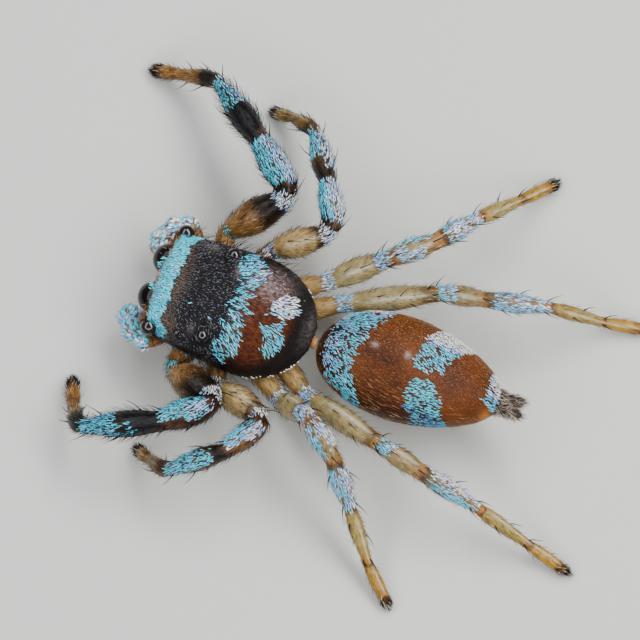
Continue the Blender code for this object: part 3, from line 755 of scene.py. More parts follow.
def leg_finish(name, stops, painted_gloss_streak, under_scales):
    """Skin of a leg, with a colour for each stretch along it and a painted highlight, a pale streak, along
    its top.
    """
    material, tree, shader = new_material(name)
    wander = reckon(tree, "MULTIPLY", reckon(tree, "SUBTRACT", mottling(tree, 3.0), 0.5), 0.02)
    along = reckon(tree, "ADD", reckon(tree, "DIVIDE", reading(tree, "along"), 6.0), wander)
    colour = ramp(tree, along, [(place / 6.0, tint) for place, tint in stops])
    shade = blend_colours(tree, mottling(tree, 7.0, low=0.3, high=0.7),
                          (0.62, 0.60, 0.58), (1.12, 1.12, 1.1))
    node = add_node(tree, "ShaderNodeMix", data_type="RGBA", blend_type="MULTIPLY")
    node.inputs[0].default_value = 0.8
    link(tree, colour, node.inputs[6])
    link(tree, shade, node.inputs[7])
    colour = node.outputs[2]
    # Painted highlight: a pale streak where the top of the leg faces the light.
    colour = blend_colours(tree, reckon(tree, "MULTIPLY", reading(tree, "painted_gloss_streak"), painted_gloss_streak), colour,
                           (0.80, 0.80, 0.72))
    colour = blend_colours(tree, reading(tree, "scaled"), colour, under_scales)
    set_surface(tree, shader, colour, 0.28, 0.28)
    raise_relief(tree, shader, mottling(tree, 26.0, low=0.25, high=0.75), 0.006)
    return material


FORELEG_STOPS = (
    (0.0, (0.223, 0.0984, 0.023)), (1.0, (0.2755, 0.1312, 0.0328)), (1.22, (0.290, 0.148, 0.042)),
    (1.46, (0.130, 0.064, 0.020)), (1.64, (0.0197, 0.0118, 0.0066)), (1.85, (0.0066, 0.0046, 0.0033)),
    (2.04, (0.002, 0.002, 0.002)), (2.12, (0.0426, 0.0144, 0.0052)), (2.88, (0.0656, 0.0236, 0.0079)),
    (2.97, (0.060, 0.022, 0.008)), (3.03, (0.0026, 0.0026, 0.0039)), (3.38, (0.0039, 0.0046, 0.0085)),
    (3.52, (0.0328, 0.0171, 0.0066)), (3.95, (0.0492, 0.0236, 0.0085)),
    (4.05, (0.0066, 0.0046, 0.0039)), (4.32, (0.0197, 0.0098, 0.0052)),
    (4.55, (0.2493, 0.1181, 0.0197)), (5.0, (0.2624, 0.1115, 0.0184)), (5.03, (0.105, 0.0459, 0.0098)),
    (5.3, (0.2755, 0.1181, 0.0197)), (5.8, (0.1443, 0.0656, 0.0197)), (5.97, (0.0197, 0.0131, 0.0098)),
)
SECOND_LEG_STOPS = (
    (0.0, (0.2362, 0.1181, 0.0328)), (1.0, (0.2886, 0.1574, 0.0459)), (1.3, (0.420, 0.300, 0.130)),
    (1.72, (0.370, 0.250, 0.100)), (1.82, (0.0262, 0.0144, 0.0066)), (1.92, (0.1706, 0.0853, 0.0262)),
    (2.04, (0.0197, 0.0092, 0.0052)), (2.14, (0.105, 0.0426, 0.0131)), (2.9, (0.1443, 0.0623, 0.0184)),
    (3.03, (0.0079, 0.0052, 0.0039)), (3.22, (0.023, 0.0118, 0.0052)), (3.4, (0.1115, 0.059, 0.0197)),
    (3.95, (0.1443, 0.0656, 0.0184)), (4.04, (0.0459, 0.0197, 0.0066)), (4.3, (0.1706, 0.0918, 0.0197)),
    (5.0, (0.2099, 0.1181, 0.023)), (5.03, (0.0787, 0.0394, 0.0098)), (5.3, (0.2362, 0.1312, 0.0262)),
    (5.8, (0.1312, 0.0656, 0.0197)), (5.97, (0.0197, 0.0131, 0.0098)),
)
HIND_LEG_STOPS = (
    (0.0, (0.2755, 0.1574, 0.0459)), (1.0, (0.3149, 0.2034, 0.0656)), (1.3, (0.345, 0.285, 0.136)),
    (1.75, (0.320, 0.250, 0.112)), (1.90, (0.1312, 0.0787, 0.0295)), (1.98, (0.328, 0.1443, 0.0328)),
    (2.05, (0.0918, 0.0361, 0.0105)), (2.14, (0.2755, 0.1443, 0.0459)), (2.45, (0.260, 0.205, 0.095)),
    (2.86, (0.270, 0.175, 0.068)), (2.96, (0.300, 0.135, 0.034)), (3.03, (0.0656, 0.0328, 0.0131)),
    (3.14, (0.105, 0.0787, 0.0328)), (3.4, (0.2099, 0.1443, 0.059)), (3.90, (0.2755, 0.1443, 0.0394)),
    (3.98, (0.3608, 0.1312, 0.0262)), (4.03, (0.0787, 0.0328, 0.0098)), (4.12, (0.330, 0.215, 0.058)),
    (4.5, (0.330, 0.255, 0.070)), (4.88, (0.330, 0.225, 0.046)), (4.96, (0.328, 0.1312, 0.0197)),
    (5.02, (0.0918, 0.0394, 0.0098)), (5.10, (0.3608, 0.2099, 0.0262)),
    (5.55, (0.4067, 0.2165, 0.0197)), (5.85, (0.223, 0.0918, 0.0131)), (5.97, (0.0197, 0.0164, 0.0144)),
)
PALP_STOPS = ((0.0, (0.192, 0.072, 0.02)), (1.2, (0.136, 0.056, 0.016)), (2.0, (0.336, 0.152, 0.048)),
              (6.0, (0.4, 0.216, 0.088)))


# The shield of the head and thorax


def shield_station(y):
    last = len(SHIELD_STATIONS) - 2
    index = next((i for i in range(last + 1) if y <= SHIELD_STATIONS[i + 1][0]), last)
    start, end = SHIELD_STATIONS[index], SHIELD_STATIONS[index + 1]
    return smooth_row(SHIELD_STATIONS, index, (y - start[0]) / (end[0] - start[0]))


def shield_place(along, around):
    """A point of the shield: arched above, flat below, closed at the face and at the rear."""
    first, last = SHIELD_STATIONS[0][0], SHIELD_STATIONS[-1][0]
    share = min(max((along - SHIELD_CAP) / (1.0 - 2.0 * SHIELD_CAP), 0.0), 1.0)
    open_share = closing(along, SHIELD_CAP)
    y, half_width, margin, crown = shield_station(first + (last - first) * share)
    power = 2.0 / (HEAD_SQUARENESS + (REAR_SQUARENESS - HEAD_SQUARENESS) * ease(share))
    arch = 1.0 - SHIELD_FLOOR
    if around <= arch:
        angle = math.pi * around / arch
        x = math.copysign(abs(math.cos(angle)) ** power, math.cos(angle))
        z = margin + (crown - margin) * abs(math.sin(angle)) ** power
    else:
        x = 2.0 * (around - arch) / SHIELD_FLOOR - 1.0
        z = margin
    middle = 0.5 * (margin + crown)
    inset = 1.0 - COAT_DEPTH / half_width
    height = middle + (z - middle) * open_share - 0.5 * COAT_DEPTH
    return Vector((x * half_width * inset * open_share, y, height))


def swell_round_eyes(point):
    """Pushes a point of the shield out to the swellings that carry the eyes."""
    for apart, y, z, _, swelling, deeper in EYES.values():
        if not swelling:
            continue
        side = math.copysign(1.0, point.x)
        centre = Vector((side * (apart - deeper), y, z - 0.4 * deeper))
        away = point - centre
        target = swelling - 0.5 * COAT_DEPTH
        if away.length < SWELL_REACH * target:
            sharpness = SWELL_SHARPNESS / target
            pull = math.exp(-sharpness * (away.length - target))
            reach = away.length + math.log(1.0 + pull) / sharpness if pull < 1e6 else target
            point = centre + away.normalized() * max(reach, target)
    return point


# Scale fields of the shield, in plan: outline, spacing, length, width, middle tone, how ragged,
# share kept
SHIELD_FIELDS = {
    "front": (
        ((-1.01, 0.50), (-1.16, 0.38), (-1.21, 0.22), (-1.14, 0.12), (-0.98, 0.10), (-0.71, 0.08),
         (-0.54, 0.04), (-0.31, 0.01), (-0.10, -0.03), (0.11, -0.03), (0.33, 0.0), (0.49, 0.02),
         (0.72, 0.06), (0.90, 0.10), (1.0, 0.15), (1.08, 0.34), (0.96, 0.50), (0.91, 0.40),
         (0.85, 0.33), (0.70, 0.31), (0.50, 0.34), (0.30, 0.32), (0.11, 0.30), (-0.16, 0.31),
         (-0.42, 0.36), (-0.67, 0.33), (-0.84, 0.41)),
        0.019, 0.060, 0.019, 0.50, 0.014, 1.2),
    "second": (
        ((-1.03, 1.38), (-1.05, 1.57), (-0.91, 1.73), (-0.76, 1.88), (-0.49, 1.86), (-0.32, 1.76),
         (-0.16, 1.80), (-0.10, 1.66), (-0.01, 1.70), (0.09, 1.90), (0.15, 1.75), (0.30, 1.73),
         (0.41, 1.80), (0.57, 1.83), (0.76, 1.88), (0.87, 1.90), (1.01, 1.78), (1.09, 1.66),
         (1.07, 1.53), (1.00, 1.42), (0.86, 1.43), (0.70, 1.50), (0.60, 1.56), (0.47, 1.42),
         (0.35, 1.49), (0.21, 1.48), (0.02, 1.50), (-0.22, 1.52), (-0.43, 1.47), (-0.46, 1.40),
         (-0.65, 1.39), (-0.84, 1.36)),
        0.0265, 0.090, 0.0175, 0.50, 0.032, 0.70),
    "rear right": (
        ((-0.39, 2.26), (-0.55, 2.42), (-0.51, 2.57), (-0.32, 2.66), (-0.13, 2.60), (-0.07, 2.48),
         (-0.01, 2.28), (-0.10, 2.20), (-0.22, 2.20)),
        0.0235, 0.088, 0.019, 0.80, 0.030, 1.0),
    "rear left": (
        ((0.04, 2.40), (0.03, 2.52), (0.23, 2.52), (0.34, 2.62), (0.56, 2.53), (0.73, 2.40),
         (0.70, 2.28), (0.56, 2.31), (0.44, 2.29), (0.33, 2.16), (0.24, 2.10), (0.20, 2.24),
         (0.22, 2.34)),
        0.0275, 0.094, 0.0175, 0.50, 0.028, 0.70),
}
LONE_SCALES = ((0.37, 0.68, 0.42), (0.47, 1.13, 0.42), (0.02, 2.10, 0.5), (0.62, 2.46, 0.4))


def shield_scales_at(points, normals, names=tuple(SHIELD_FIELDS)):
    found = np.zeros(len(points), bool)
    for name in names:
        found |= inside(points[:, :2], SHIELD_FIELDS[name][0])
    return found & (normals[:, 2] > 0.12) & (points[:, 2] > SCALES_LOWEST)


def build_shield(finish, scales, hairs, head_hairs):
    def place(along, around):
        return swell_round_eyes(shield_place(along, around))

    mesh = to_mesh(rolled(SHIELD_ROWS, SHIELD_SIDES, place))
    points = mesh_points(mesh)
    normals = vertex_normals(mesh)
    x, y, z = points.T
    top = smooth_step(1.25, 1.55, z)
    head = smooth_step(0.12, 0.30, y) * (1.0 - smooth_step(1.50, 1.66, y + 0.06 * np.abs(x)))
    warm = smooth_step(0.20, 0.32, y) * (1.0 - smooth_step(0.30, 0.80, y + 0.22 * np.abs(x - 0.1)))
    warm_left = np.exp(-(((x - 0.80) / 0.14) ** 2 + ((y - 0.46) / 0.18) ** 2))
    russet = 1.0 - smooth_step(0.68, 1.0, np.hypot((x - 0.12) / 1.10, (y - 1.93) / 0.86))
    margin = (1.0 - smooth_step(1.42, 1.62, z)) * (1.0 - 0.7 * smooth_step(0.2, 0.7,
                                                                           x) * smooth_step(2.5, 2.1, y))
    shoulder = blob(x, y, (-0.56, 2.06), (0.32, 0.34))
    rear_rim = blob(x, y, (-0.20, 2.93), (0.40, 0.12))
    brow = blob(x, y, (-0.86, 0.72), (0.10, 0.16))
    behind_eye = blob(x, y, (-0.60, 1.37), (0.17, 0.07))
    between_eyes = blob(x, y, (0.80, 0.93), (0.10, 0.09))
    fovea = blob(x, y, (0.24, 1.78), (0.035, 0.10))
    paint(mesh, "head", head * top)
    paint(mesh, "warm", np.clip(0.75 * warm + 0.9 * warm_left, 0.0, 1.0) * top)
    paint(mesh, "russet", russet * top * (1.0 - margin))
    # Painted sheen: pale highlights painted on the right shoulder, the brow, behind and between the eyes,
    # on the fovea and along the rear rim.
    painted_sheen = 0.85 * shoulder + 0.6 * brow + 0.7 * behind_eye
    painted_sheen = painted_sheen + 0.4 * between_eyes + 0.6 * fovea + 0.28 * rear_rim
    paint(mesh, "painted_sheen", within_one(painted_sheen))
    scaled = shield_scales_at(points, normals, ("front",)) * 0.85 + shield_scales_at(points, normals) * 0.12
    paint(mesh, "scaled", within_one(scaled))
    ground = Ground(mesh)
    finish_piece("shield_skin", mesh, finish, ("carapace",))
    build_shield_scales(ground, scales)
    build_shield_hairs(ground, hairs, head_hairs)
    build_face_hairs(ground, scales, hairs)


def blob(x, y, middle, reach):
    """A soft spot in plan."""
    return np.exp(-(((x - middle[0]) / reach[0]) ** 2 + ((y - middle[1]) / reach[1]) ** 2))


def fan(points, strength, limit=0.75):
    """Rearward headings that fan out to the sides."""
    turn = np.clip(points[:, 0] * strength, -limit, limit)
    return np.stack([np.sin(turn), np.cos(turn), np.zeros(len(points))], axis=1)


def build_shield_scales(ground, finish):
    coats = []
    for name, (outline, spacing, length, width, tone, ragged, share) in SHIELD_FIELDS.items():
        def keep(points, normals, unwrap):
            forward = 0.55 * length + RANDOM.normal(0.0, ragged, len(points))
            strayed = points[:, :2] + fan(points, 1.05)[:, :2] * forward[:, None] + wavering(points)
            upper = (normals[:, 2] > 0.05) & (points[:, 2] > SCALES_LOWEST)
            return inside(strayed, outline) & upper & clear_of_eyes(points)

        spots = ground.spots(1.9 / spacing ** 2, spacing, keep)
        spots = picked(spots, patchy(spots[0], share))
        points = spots[0]
        field = fan(points, 0.45 if name == "front" else 1.05)
        heading = along_skin(field, spots, 13.0, 12.0)
        # Painted highlight: scales on the right of the thorax, towards the light, are painted whiter.
        glare = smooth_step(0.0, -0.75, points[:, 0]) * smooth_step(1.2, 2.0, points[:, 1])
        tones = scattered(spots, tone, 0.12) + 0.30 * glare
        tones = np.where(chance(spots) < 0.12, tones + 0.25, tones)
        sizes = spread(spots, length, 0.28)
        coats.append(laid(SCALE_SHAPE, spots, heading, sizes, spread(spots, width, 0.2), 0.009, 0.18,
                          within_one(tones)))
    coats.append(lone_scales(ground))
    finish_piece("shield_scales", join_coats(coats), finish)


def wavering(points, reach=0.022):
    """Small shifts in plan that make the edges of the scale fields uneven."""
    x, y = (points[:, :2] * 26.0).T
    return reach * np.stack([np.sin(y + 1.7 * np.sin(0.7 * x)),
                             np.sin(x + 1.3 * np.sin(0.8 * y + 2.0))], axis=1)


def patchy(points, share, per_mm=9.0, depth=0.45):
    """Keeps a share of the points, with small clearings between them."""
    x, y = points[:, :2].T * per_mm
    clearing = np.sin(1.9 * x + 1.3 * np.sin(0.8 * y)) * np.sin(1.6 * y + 1.1 * np.sin(0.9 * x + 1.0))
    return RANDOM.random(len(points)) < share + depth * clearing


def clear_of_eyes(points):
    """Which points of the plan lie beside the round eyes, not under them."""
    clear = np.ones(len(points), bool)
    for apart, y, _, radius, swelling, _ in EYES.values():
        if swelling:
            clear &= np.hypot(np.abs(points[:, 0]) - apart, points[:, 1] - y) > radius - 0.04
    return clear


def nearest_spots(ground, plan):
    """The places of the skin's upper side that lie nearest to some places of the plan."""
    middles = ground.points.mean(axis=1)
    normals = ground.normals.mean(axis=1)
    unwrap = ground.unwrap.mean(axis=1)
    upper = np.nonzero(normals[:, 2] > 0.0)[0]
    chosen = [upper[np.argmin(np.hypot(*(middles[upper, :2] - place).T))] for place in plan]
    normals = normals[chosen] / np.linalg.norm(normals[chosen], axis=1, keepdims=True)
    return middles[chosen], normals, unwrap[chosen]


def lone_scales(ground):
    places = np.array(LONE_SCALES)
    spots = nearest_spots(ground, places[:, :2])
    heading = along_skin(fan(spots[0], 1.0), spots, 30.0, 12.0)
    return laid(SCALE_SHAPE, spots, heading, 0.095, 0.028, 0.010, 0.15, places[:, 2])


def margin_beads(ground):
    """A row of short pale scales along the rear margins."""
    def keep(points, normals, unwrap):
        x, y, z = points.T
        left = (x > 0.0) & (y > 2.05) & (y < 2.95)
        right = (x < -0.62) & (y > 2.60) & (y < 2.85)
        return (left | right) & (z > 1.16) & (z < 1.25)

    spots = ground.spots(1500.0, 0.045, keep)
    spots = picked(spots, chance(spots) < 0.55)
    heading = along_skin(fan(spots[0], 0.6), spots, 40.0, 25.0)
    return laid(SCALE_SHAPE, spots, heading, spread(spots, 0.050, 0.35), 0.038, 0.022, 0.1,
                spread(spots, 0.97, 0.03))


RIPPLE_LENGTH = 0.062  # from one row of painted glints on the head's hairs to the next


def build_shield_hairs(ground, finish, head_finish):
    def on_head(points, normals, unwrap):
        y, z = points.T[1:]
        return (y > 0.24) & (y < 1.66) & (z > 1.45) & ~shield_scales_at(points, normals, ("front",))

    def on_thorax(points, normals, unwrap):
        y, z = points.T[1:]
        return ((y > 1.60) & (z > 1.22) & ~shield_scales_at(points, normals)) * 0.9

    def on_cheeks(points, normals, unwrap):
        y, z = points.T[1:]
        return (y > 0.15) & (y < 2.2) & (z > 1.18) & (z < 1.72) & (np.abs(normals[:, 2]) < 0.75)

    coats = []
    spots = ground.spots(2400.0, 0.0235, on_head)
    points = spots[0]
    heading = along_skin(fan(points, 0.7), spots, 16.0, 12.0)
    front = 1.0 - smooth_step(0.32, 0.80, points[:, 1] + 0.2 * np.abs(points[:, 0]))
    left = smooth_step(0.65, 0.85, points[:, 0]) * smooth_step(0.75, 0.5, points[:, 1])
    tone = np.clip(0.12 + 0.60 * np.maximum(front, left) + scattered(spots, 0.0, 0.08), 0.10, 1.0)
    # Painted glints: hairs in wavy rows, more of them on the right, get tone 0 and so the pale painted
    # gleam of the head hairs.
    x, y = points.T[:2]
    wave = y + 0.02 * np.sin(9.0 * x) + 0.01 * np.sin(23.0 * x + 9.0 * y)
    ripple = np.sin(2.0 * math.pi * wave / RIPPLE_LENGTH)
    painted_glint_hairs = chance(spots) < 0.30 + 0.42 * ripple + 0.10 * smooth_step(0.5, -0.6, x)
    tone = np.where(painted_glint_hairs & (tone < 0.4), 0.0, tone)
    coat = laid(HAIR_SHAPE, spots, heading, spread(spots, 0.064, 0.25), 0.0125, 0.010, 0.30, tone)
    finish_piece("head_hairs", coat, head_finish)
    spots = ground.spots(700.0, 0.03, on_thorax)
    points = spots[0]
    heading = along_skin(fan(points, 1.1), spots, 12.0, 9.0)
    middle = 1.0 - smooth_step(0.55, 1.0, np.hypot(points[:, 0], (points[:, 1] - 1.95) / 0.9))
    tone = within_one(0.06 + 0.40 * middle + scattered(spots, 0.0, 0.07))
    # Pale hairs on the right shoulder: partly real pale hairs, partly a painted sheen.
    shoulder = blob(points[:, 0], points[:, 1], (-0.55, 2.10), (0.30, 0.34))
    tone = np.where(chance(spots) < 0.40 * shoulder, 0.88, tone)
    coats.append(laid(HAIR_SHAPE, spots, heading, spread(spots, 0.085, 0.3), 0.0065, 0.006, 0.20, tone))
    coats.append(margin_beads(ground))
    spots = ground.spots(80.0, 0.045, on_cheeks)
    heading = along_skin(fan(spots[0], 0.9), spots, 24.0, 50.0)
    coats.append(laid(BRISTLE_SHAPE, spots, heading, spread(spots, 0.30, 0.35), 0.010, 0.010, 0.35, 0.02))
    finish_piece("shield_hairs", join_coats(coats), finish)


def brow_spots(roots, unwrap):
    """Spots on the brow, with one direction and one place on the unwrapped skin for all."""
    return np.array(roots), np.tile((0.0, -0.2, 1.0), (len(roots), 1)), np.tile(unwrap, (len(roots), 1))


def build_face_hairs(ground, scales, hairs):
    """Lashes over the front eyes, an orange tuft between them, and short hairs round the face."""
    apart, _, eye_z, radius = EYES["front_median"][:4]
    roots, headings = [], []
    for side in (-1.0, 1.0):
        for index in range(5):
            reach = index / 4.0 - 0.5
            roots.append((side * apart + 0.46 * reach, 0.02, eye_z + 0.285 - 0.10 * (2.0 * reach) ** 2))
            headings.append((0.25 * reach, -1.0, 0.30))
    spots = brow_spots(roots, (0.02, 0.4))
    coats = [laid(BRISTLE_SHAPE, spots, np.array(headings), spread(spots, 0.15, 0.2),
                  0.006, 0.006, 0.6, 0.84)]

    def on_face(points, normals, unwrap):
        y, z = points.T[1:]
        return (normals[:, 1] < -0.35) & (z > 1.16) & (y < 0.12)

    spots = ground.spots(900.0, 0.022, on_face)
    points = spots[0]
    down = points * (0.5, 0.0, 0.0) + (0.0, -0.45, -0.9)
    tuft = np.exp(-(points[:, 0] / 0.12) ** 2)
    tone = within_one(0.56 + 0.10 * tuft + scattered(spots, 0.0, 0.08))
    heading = along_skin(down, spots, 20.0, 30.0)
    coats.append(laid(HAIR_SHAPE, spots, heading, spread(spots, 0.11, 0.3), 0.009, 0.009, 0.2, tone))
    finish_piece("face_hairs", join_coats(coats), hairs)
    roots, headings = [], []
    for side in (-1.0, 1.0):
        for _ in range(13):
            reach = RANDOM.uniform(-1.0, 1.0)
            step = RANDOM.uniform(0.0, 1.0)
            across = side * 0.15 + 0.10 * reach
            height = math.sqrt(radius ** 2 - across ** 2)
            roots.append((side * apart - across, 0.05 - 0.12 * step,
                          eye_z + height + 0.012 - 0.03 * step ** 2))
            headings.append((0.3 * reach, -1.0, 0.02 - 0.2 * step))
    spots = brow_spots(roots, (0.03, 0.42))
    tuft = laid(SCALE_SHAPE, spots, np.array(headings), spread(spots, 0.085, 0.2), 0.026, 0.010, 0.15,
                spread(spots, 0.46, 0.25))
    finish_piece("brow_scales", tuft, scales)


def build_eyes(front_finish, side_finish):
    for name, (apart, y, z, radius, swelling, _) in EYES.items():
        finish = side_finish if swelling else front_finish
        for side_name, side in SIDES:
            bm = bmesh.new()
            bmesh.ops.create_uvsphere(bm, u_segments=40, v_segments=26, radius=radius)
            bmesh.ops.translate(bm, verts=bm.verts[:], vec=(side * apart, y, z))
            node = f"eye_{name}_{side_name}"
            finish_piece(f"{node}_dome", to_mesh(bm), finish, (node,))


def build_jaws(finish):
    for side_name, side in SIDES:
        def place(along, around):
            share = min(max((along - JAW_CAP) / (1.0 - 2.0 * JAW_CAP), 0.0), 1.0)
            open_share = closing(along, JAW_CAP)
            belly = 0.86 + 0.20 * math.sin(math.pi * min(share * 1.15, 1.0)) - 0.22 * share ** 2.5
            angle = 2.0 * math.pi * around
            girth = JAW_GIRTH * belly * open_share
            x = side * (JAW_APART - 0.03 * share) + JAW_HALF_WIDTH * girth * math.cos(angle)
            y = JAW_ROOT_Y - JAW_LEAN * share + JAW_HALF_DEPTH * girth * math.sin(angle)
            dome = JAW_DOME * (1.0 - open_share) if along > 0.5 else 0.0
            return Vector((x, y, JAW_TOP - JAW_LENGTH * share - dome))

        mesh = to_mesh(rolled(40, 36, place))
        finish_piece(f"jaw_{side_name}", mesh, finish, (f"chelicera_{side_name}",))


# Abdomen


def abdomen_frame():
    yaw = Matrix.Rotation(math.radians(ABDOMEN_YAW), 4, "Z")
    pitch = Matrix.Rotation(math.radians(ABDOMEN_PITCH), 4, "X")
    return Matrix.Translation(ABDOMEN_CENTRE) @ yaw @ pitch


ABDOMEN_FRAME = abdomen_frame()


def abdomen_place(along, around):
    reach = -ABDOMEN_FRONT + (ABDOMEN_FRONT + ABDOMEN_REAR) * (0.35 * along + 0.65 * ease(along))
    if reach < 0.0:
        girth = math.sqrt(max(1.0 - (-reach / ABDOMEN_FRONT) ** ABDOMEN_FRONT_POWER, 0.0))
    else:
        girth = math.sqrt(max(1.0 - (reach / ABDOMEN_REAR) ** ABDOMEN_REAR_POWER, 0.0))
    drop = ABDOMEN_FRONT_DROP * (min(reach, 0.0) / ABDOMEN_FRONT) ** 4
    angle = 2.0 * math.pi * around
    height = ABDOMEN_UP if math.cos(angle) > 0.0 else ABDOMEN_DOWN
    inset = 1.0 - COAT_DEPTH
    x = ABDOMEN_HALF_WIDTH * girth * math.sin(angle) * inset
    return ABDOMEN_FRAME @ Vector((x, reach * inset, height * girth * math.cos(angle) * inset - drop))


# Scale fields of the abdomen, seen from above in its own axes: outline, heading in degrees towards
# the left, middle tone
ABDOMEN_FIELDS = {
    "front": (
        ((-0.98, -0.50), (-0.94, -0.82), (-0.81, -1.10), (-0.63, -1.30), (-0.40, -1.43), (-0.20, -1.50),
         (0.03, -1.52), (0.28, -1.46), (0.48, -1.39), (0.58, -1.34), (0.68, -1.22), (0.78, -1.05),
         (0.88, -0.88), (0.97, -0.67), (1.05, -0.45), (0.97, -0.62), (0.89, -0.66), (0.73, -0.79),
         (0.59, -0.87), (0.47, -0.97), (0.34, -0.99), (0.17, -0.98), (0.03, -0.96), (-0.14, -0.91),
         (-0.25, -0.86), (-0.46, -0.80), (-0.63, -0.70), (-0.78, -0.56)),
        12.0, 0.54),
    "right": (
        ((0.05, 0.14), (0.08, 0.30), (0.02, 0.46), (0.0, 0.55), (-0.02, 0.70), (-0.21, 0.72),
         (-0.38, 0.79), (-0.56, 0.92), (-0.70, 1.14), (-0.92, 1.10), (-1.02, 0.80), (-1.0, 0.62),
         (-0.80, 0.42), (-0.62, 0.25), (-0.41, 0.19), (-0.20, 0.14)),
        28.0, 0.50),
    "left": (
        ((0.28, 0.22), (0.22, 0.38), (0.22, 0.57), (0.31, 0.66), (0.39, 0.73), (0.56, 0.81),
         (0.71, 0.89), (0.78, 1.0), (0.80, 1.14), (0.98, 0.96), (1.02, 0.70), (1.02, 0.50),
         (0.91, 0.44), (0.82, 0.40), (0.80, 0.27), (0.62, 0.17), (0.43, 0.16)),
        -6.0, 0.40),
    "rear": (
        ((-0.45, 1.62), (-0.14, 1.60), (0.04, 1.64), (0.15, 1.58), (0.22, 1.66), (0.25, 1.78),
         (0.20, 2.0), (-0.45, 2.0)),
        6.0, 0.54),
}


def abdomen_local(points):
    turn = np.array(ABDOMEN_FRAME.to_3x3().transposed())
    return (points - np.array(ABDOMEN_FRAME.translation)) @ turn.T


def abdomen_scales_at(points):
    local = abdomen_local(points)
    found = np.zeros(len(points), bool)
    for outline, _, _ in ABDOMEN_FIELDS.values():
        found |= inside(local[:, :2], outline)
    return found & (local[:, 2] > ABDOMEN_SCALES_LOWEST)


def build_abdomen(finish, scales, hairs):
    mesh = to_mesh(rolled(ABDOMEN_ROWS, ABDOMEN_SIDES, abdomen_place))
    points = mesh_points(mesh)
    x, y, z = abdomen_local(points).T
    smudge = blob(x, y, (0.05, -0.72), (0.13, 0.22)) + blob(x, y, (0.12, -0.30), (0.12, 0.24))
    spot = blob(x, y, (0.48, -0.04), (0.07, 0.08))
    left_flank = smooth_step(0.42, 0.92, x + 0.30 * (-z)) * smooth_step(1.7, 1.0,
                                                                        y) * smooth_step(-1.3, -0.6, y)
    rim = smooth_step(-1.22, -1.42, y)
    paint(mesh, "dark", within_one(0.60 * smudge + 0.5 * spot + 0.85 * left_flank + rim))
    # Painted sheen: two pale highlights painted on the sigilla.
    paint(mesh, "painted_sheen", 0.8 * (blob(x, y, (-0.11, -0.67), (0.04, 0.06)) + blob(x, y,
                                                                                (-0.11,
                                                                                 -0.03), (0.06, 0.05))))
    orange = blob(x, y, (0.42, 1.72), (0.13, 0.09))
    throat = smooth_step(-1.60, -1.70, y) * smooth_step(-0.1, -0.3, z)
    paint(mesh, "orange", within_one(0.9 * orange + 0.8 * throat))
    paint(mesh, "scaled", abdomen_scales_at(points) * 0.6)
    paint(mesh, "under", smooth_step(-0.25, -0.6, z))
    ground = Ground(mesh)
    finish_piece("abdomen_skin", mesh, finish, ("abdomen",))
    build_abdomen_scales(ground, scales)
    build_abdomen_hairs(ground, hairs)


def tailward(points, degrees=0.0, strength=0.0):
    """Headings towards the tail, turned by some degrees to the left and fanned out."""
    turn = math.radians(degrees) + strength * abdomen_local(points)[:, 0]
    field = np.stack([np.sin(turn), np.cos(turn), np.zeros(len(points))], axis=1)
    return field @ np.array(ABDOMEN_FRAME.to_3x3()).T


def build_abdomen_scales(ground, finish):
    coats = []
    for outline, degrees, middle in ABDOMEN_FIELDS.values():
        def keep(points, normals, unwrap):
            local = abdomen_local(points)
            turn = math.radians(degrees)
            forward = 0.035 + RANDOM.normal(0.0, 0.03, len(points))
            strayed = local[:, :2] + forward[:, None] * (math.sin(turn), math.cos(turn)) + wavering(points)
            return inside(strayed, outline) & (local[:, 2] > ABDOMEN_SCALES_LOWEST)

        spots = ground.spots(2800.0, SCALE_SPACING, keep)
        local = abdomen_local(spots[0])
        # Scales stand denser where the painted highlight below whitens them.
        bright = smooth_step(-0.35, -0.70, local[:, 0]) * smooth_step(-0.2, 0.3, local[:, 1])
        spots = picked(spots, patchy(spots[0], 0.80 + bright))
        points = spots[0]
        heading = along_skin(tailward(points, degrees, 0.15), spots, 12.0, 12.0)
        x, y = abdomen_local(points).T[:2]
        # Painted highlight: scales on the rear of the right flank and on the right of the rear patch,
        # towards the light, are painted whiter, and so are those of the front band's arm on the right
        # flank.
        glare = smooth_step(-0.35, -0.70, x) * smooth_step(-0.2, 0.3, y)
        glare = glare + smooth_step(1.50, 1.65, y) * smooth_step(0.12, -0.15, x)
        arm = smooth_step(-0.60, -0.92, x) * smooth_step(-0.3, -0.9, y) * 0.45
        rim = smooth_step(-1.20, -1.45, y) * 0.18
        shade = smooth_step(0.66, 0.84, x) * 0.26
        tones = scattered(spots, middle, 0.11) + 0.55 * glare + arm + rim - shade
        tones = np.where(chance(spots) < 0.12, tones + 0.2, tones)
        sizes = spread(spots, 0.075, 0.28)
        coats.append(laid(SCALE_SHAPE, spots, heading, sizes, spread(spots, 0.0185, 0.2), 0.008, 0.15,
                          within_one(tones)))
    finish_piece("abdomen_scales", join_coats(coats), finish)


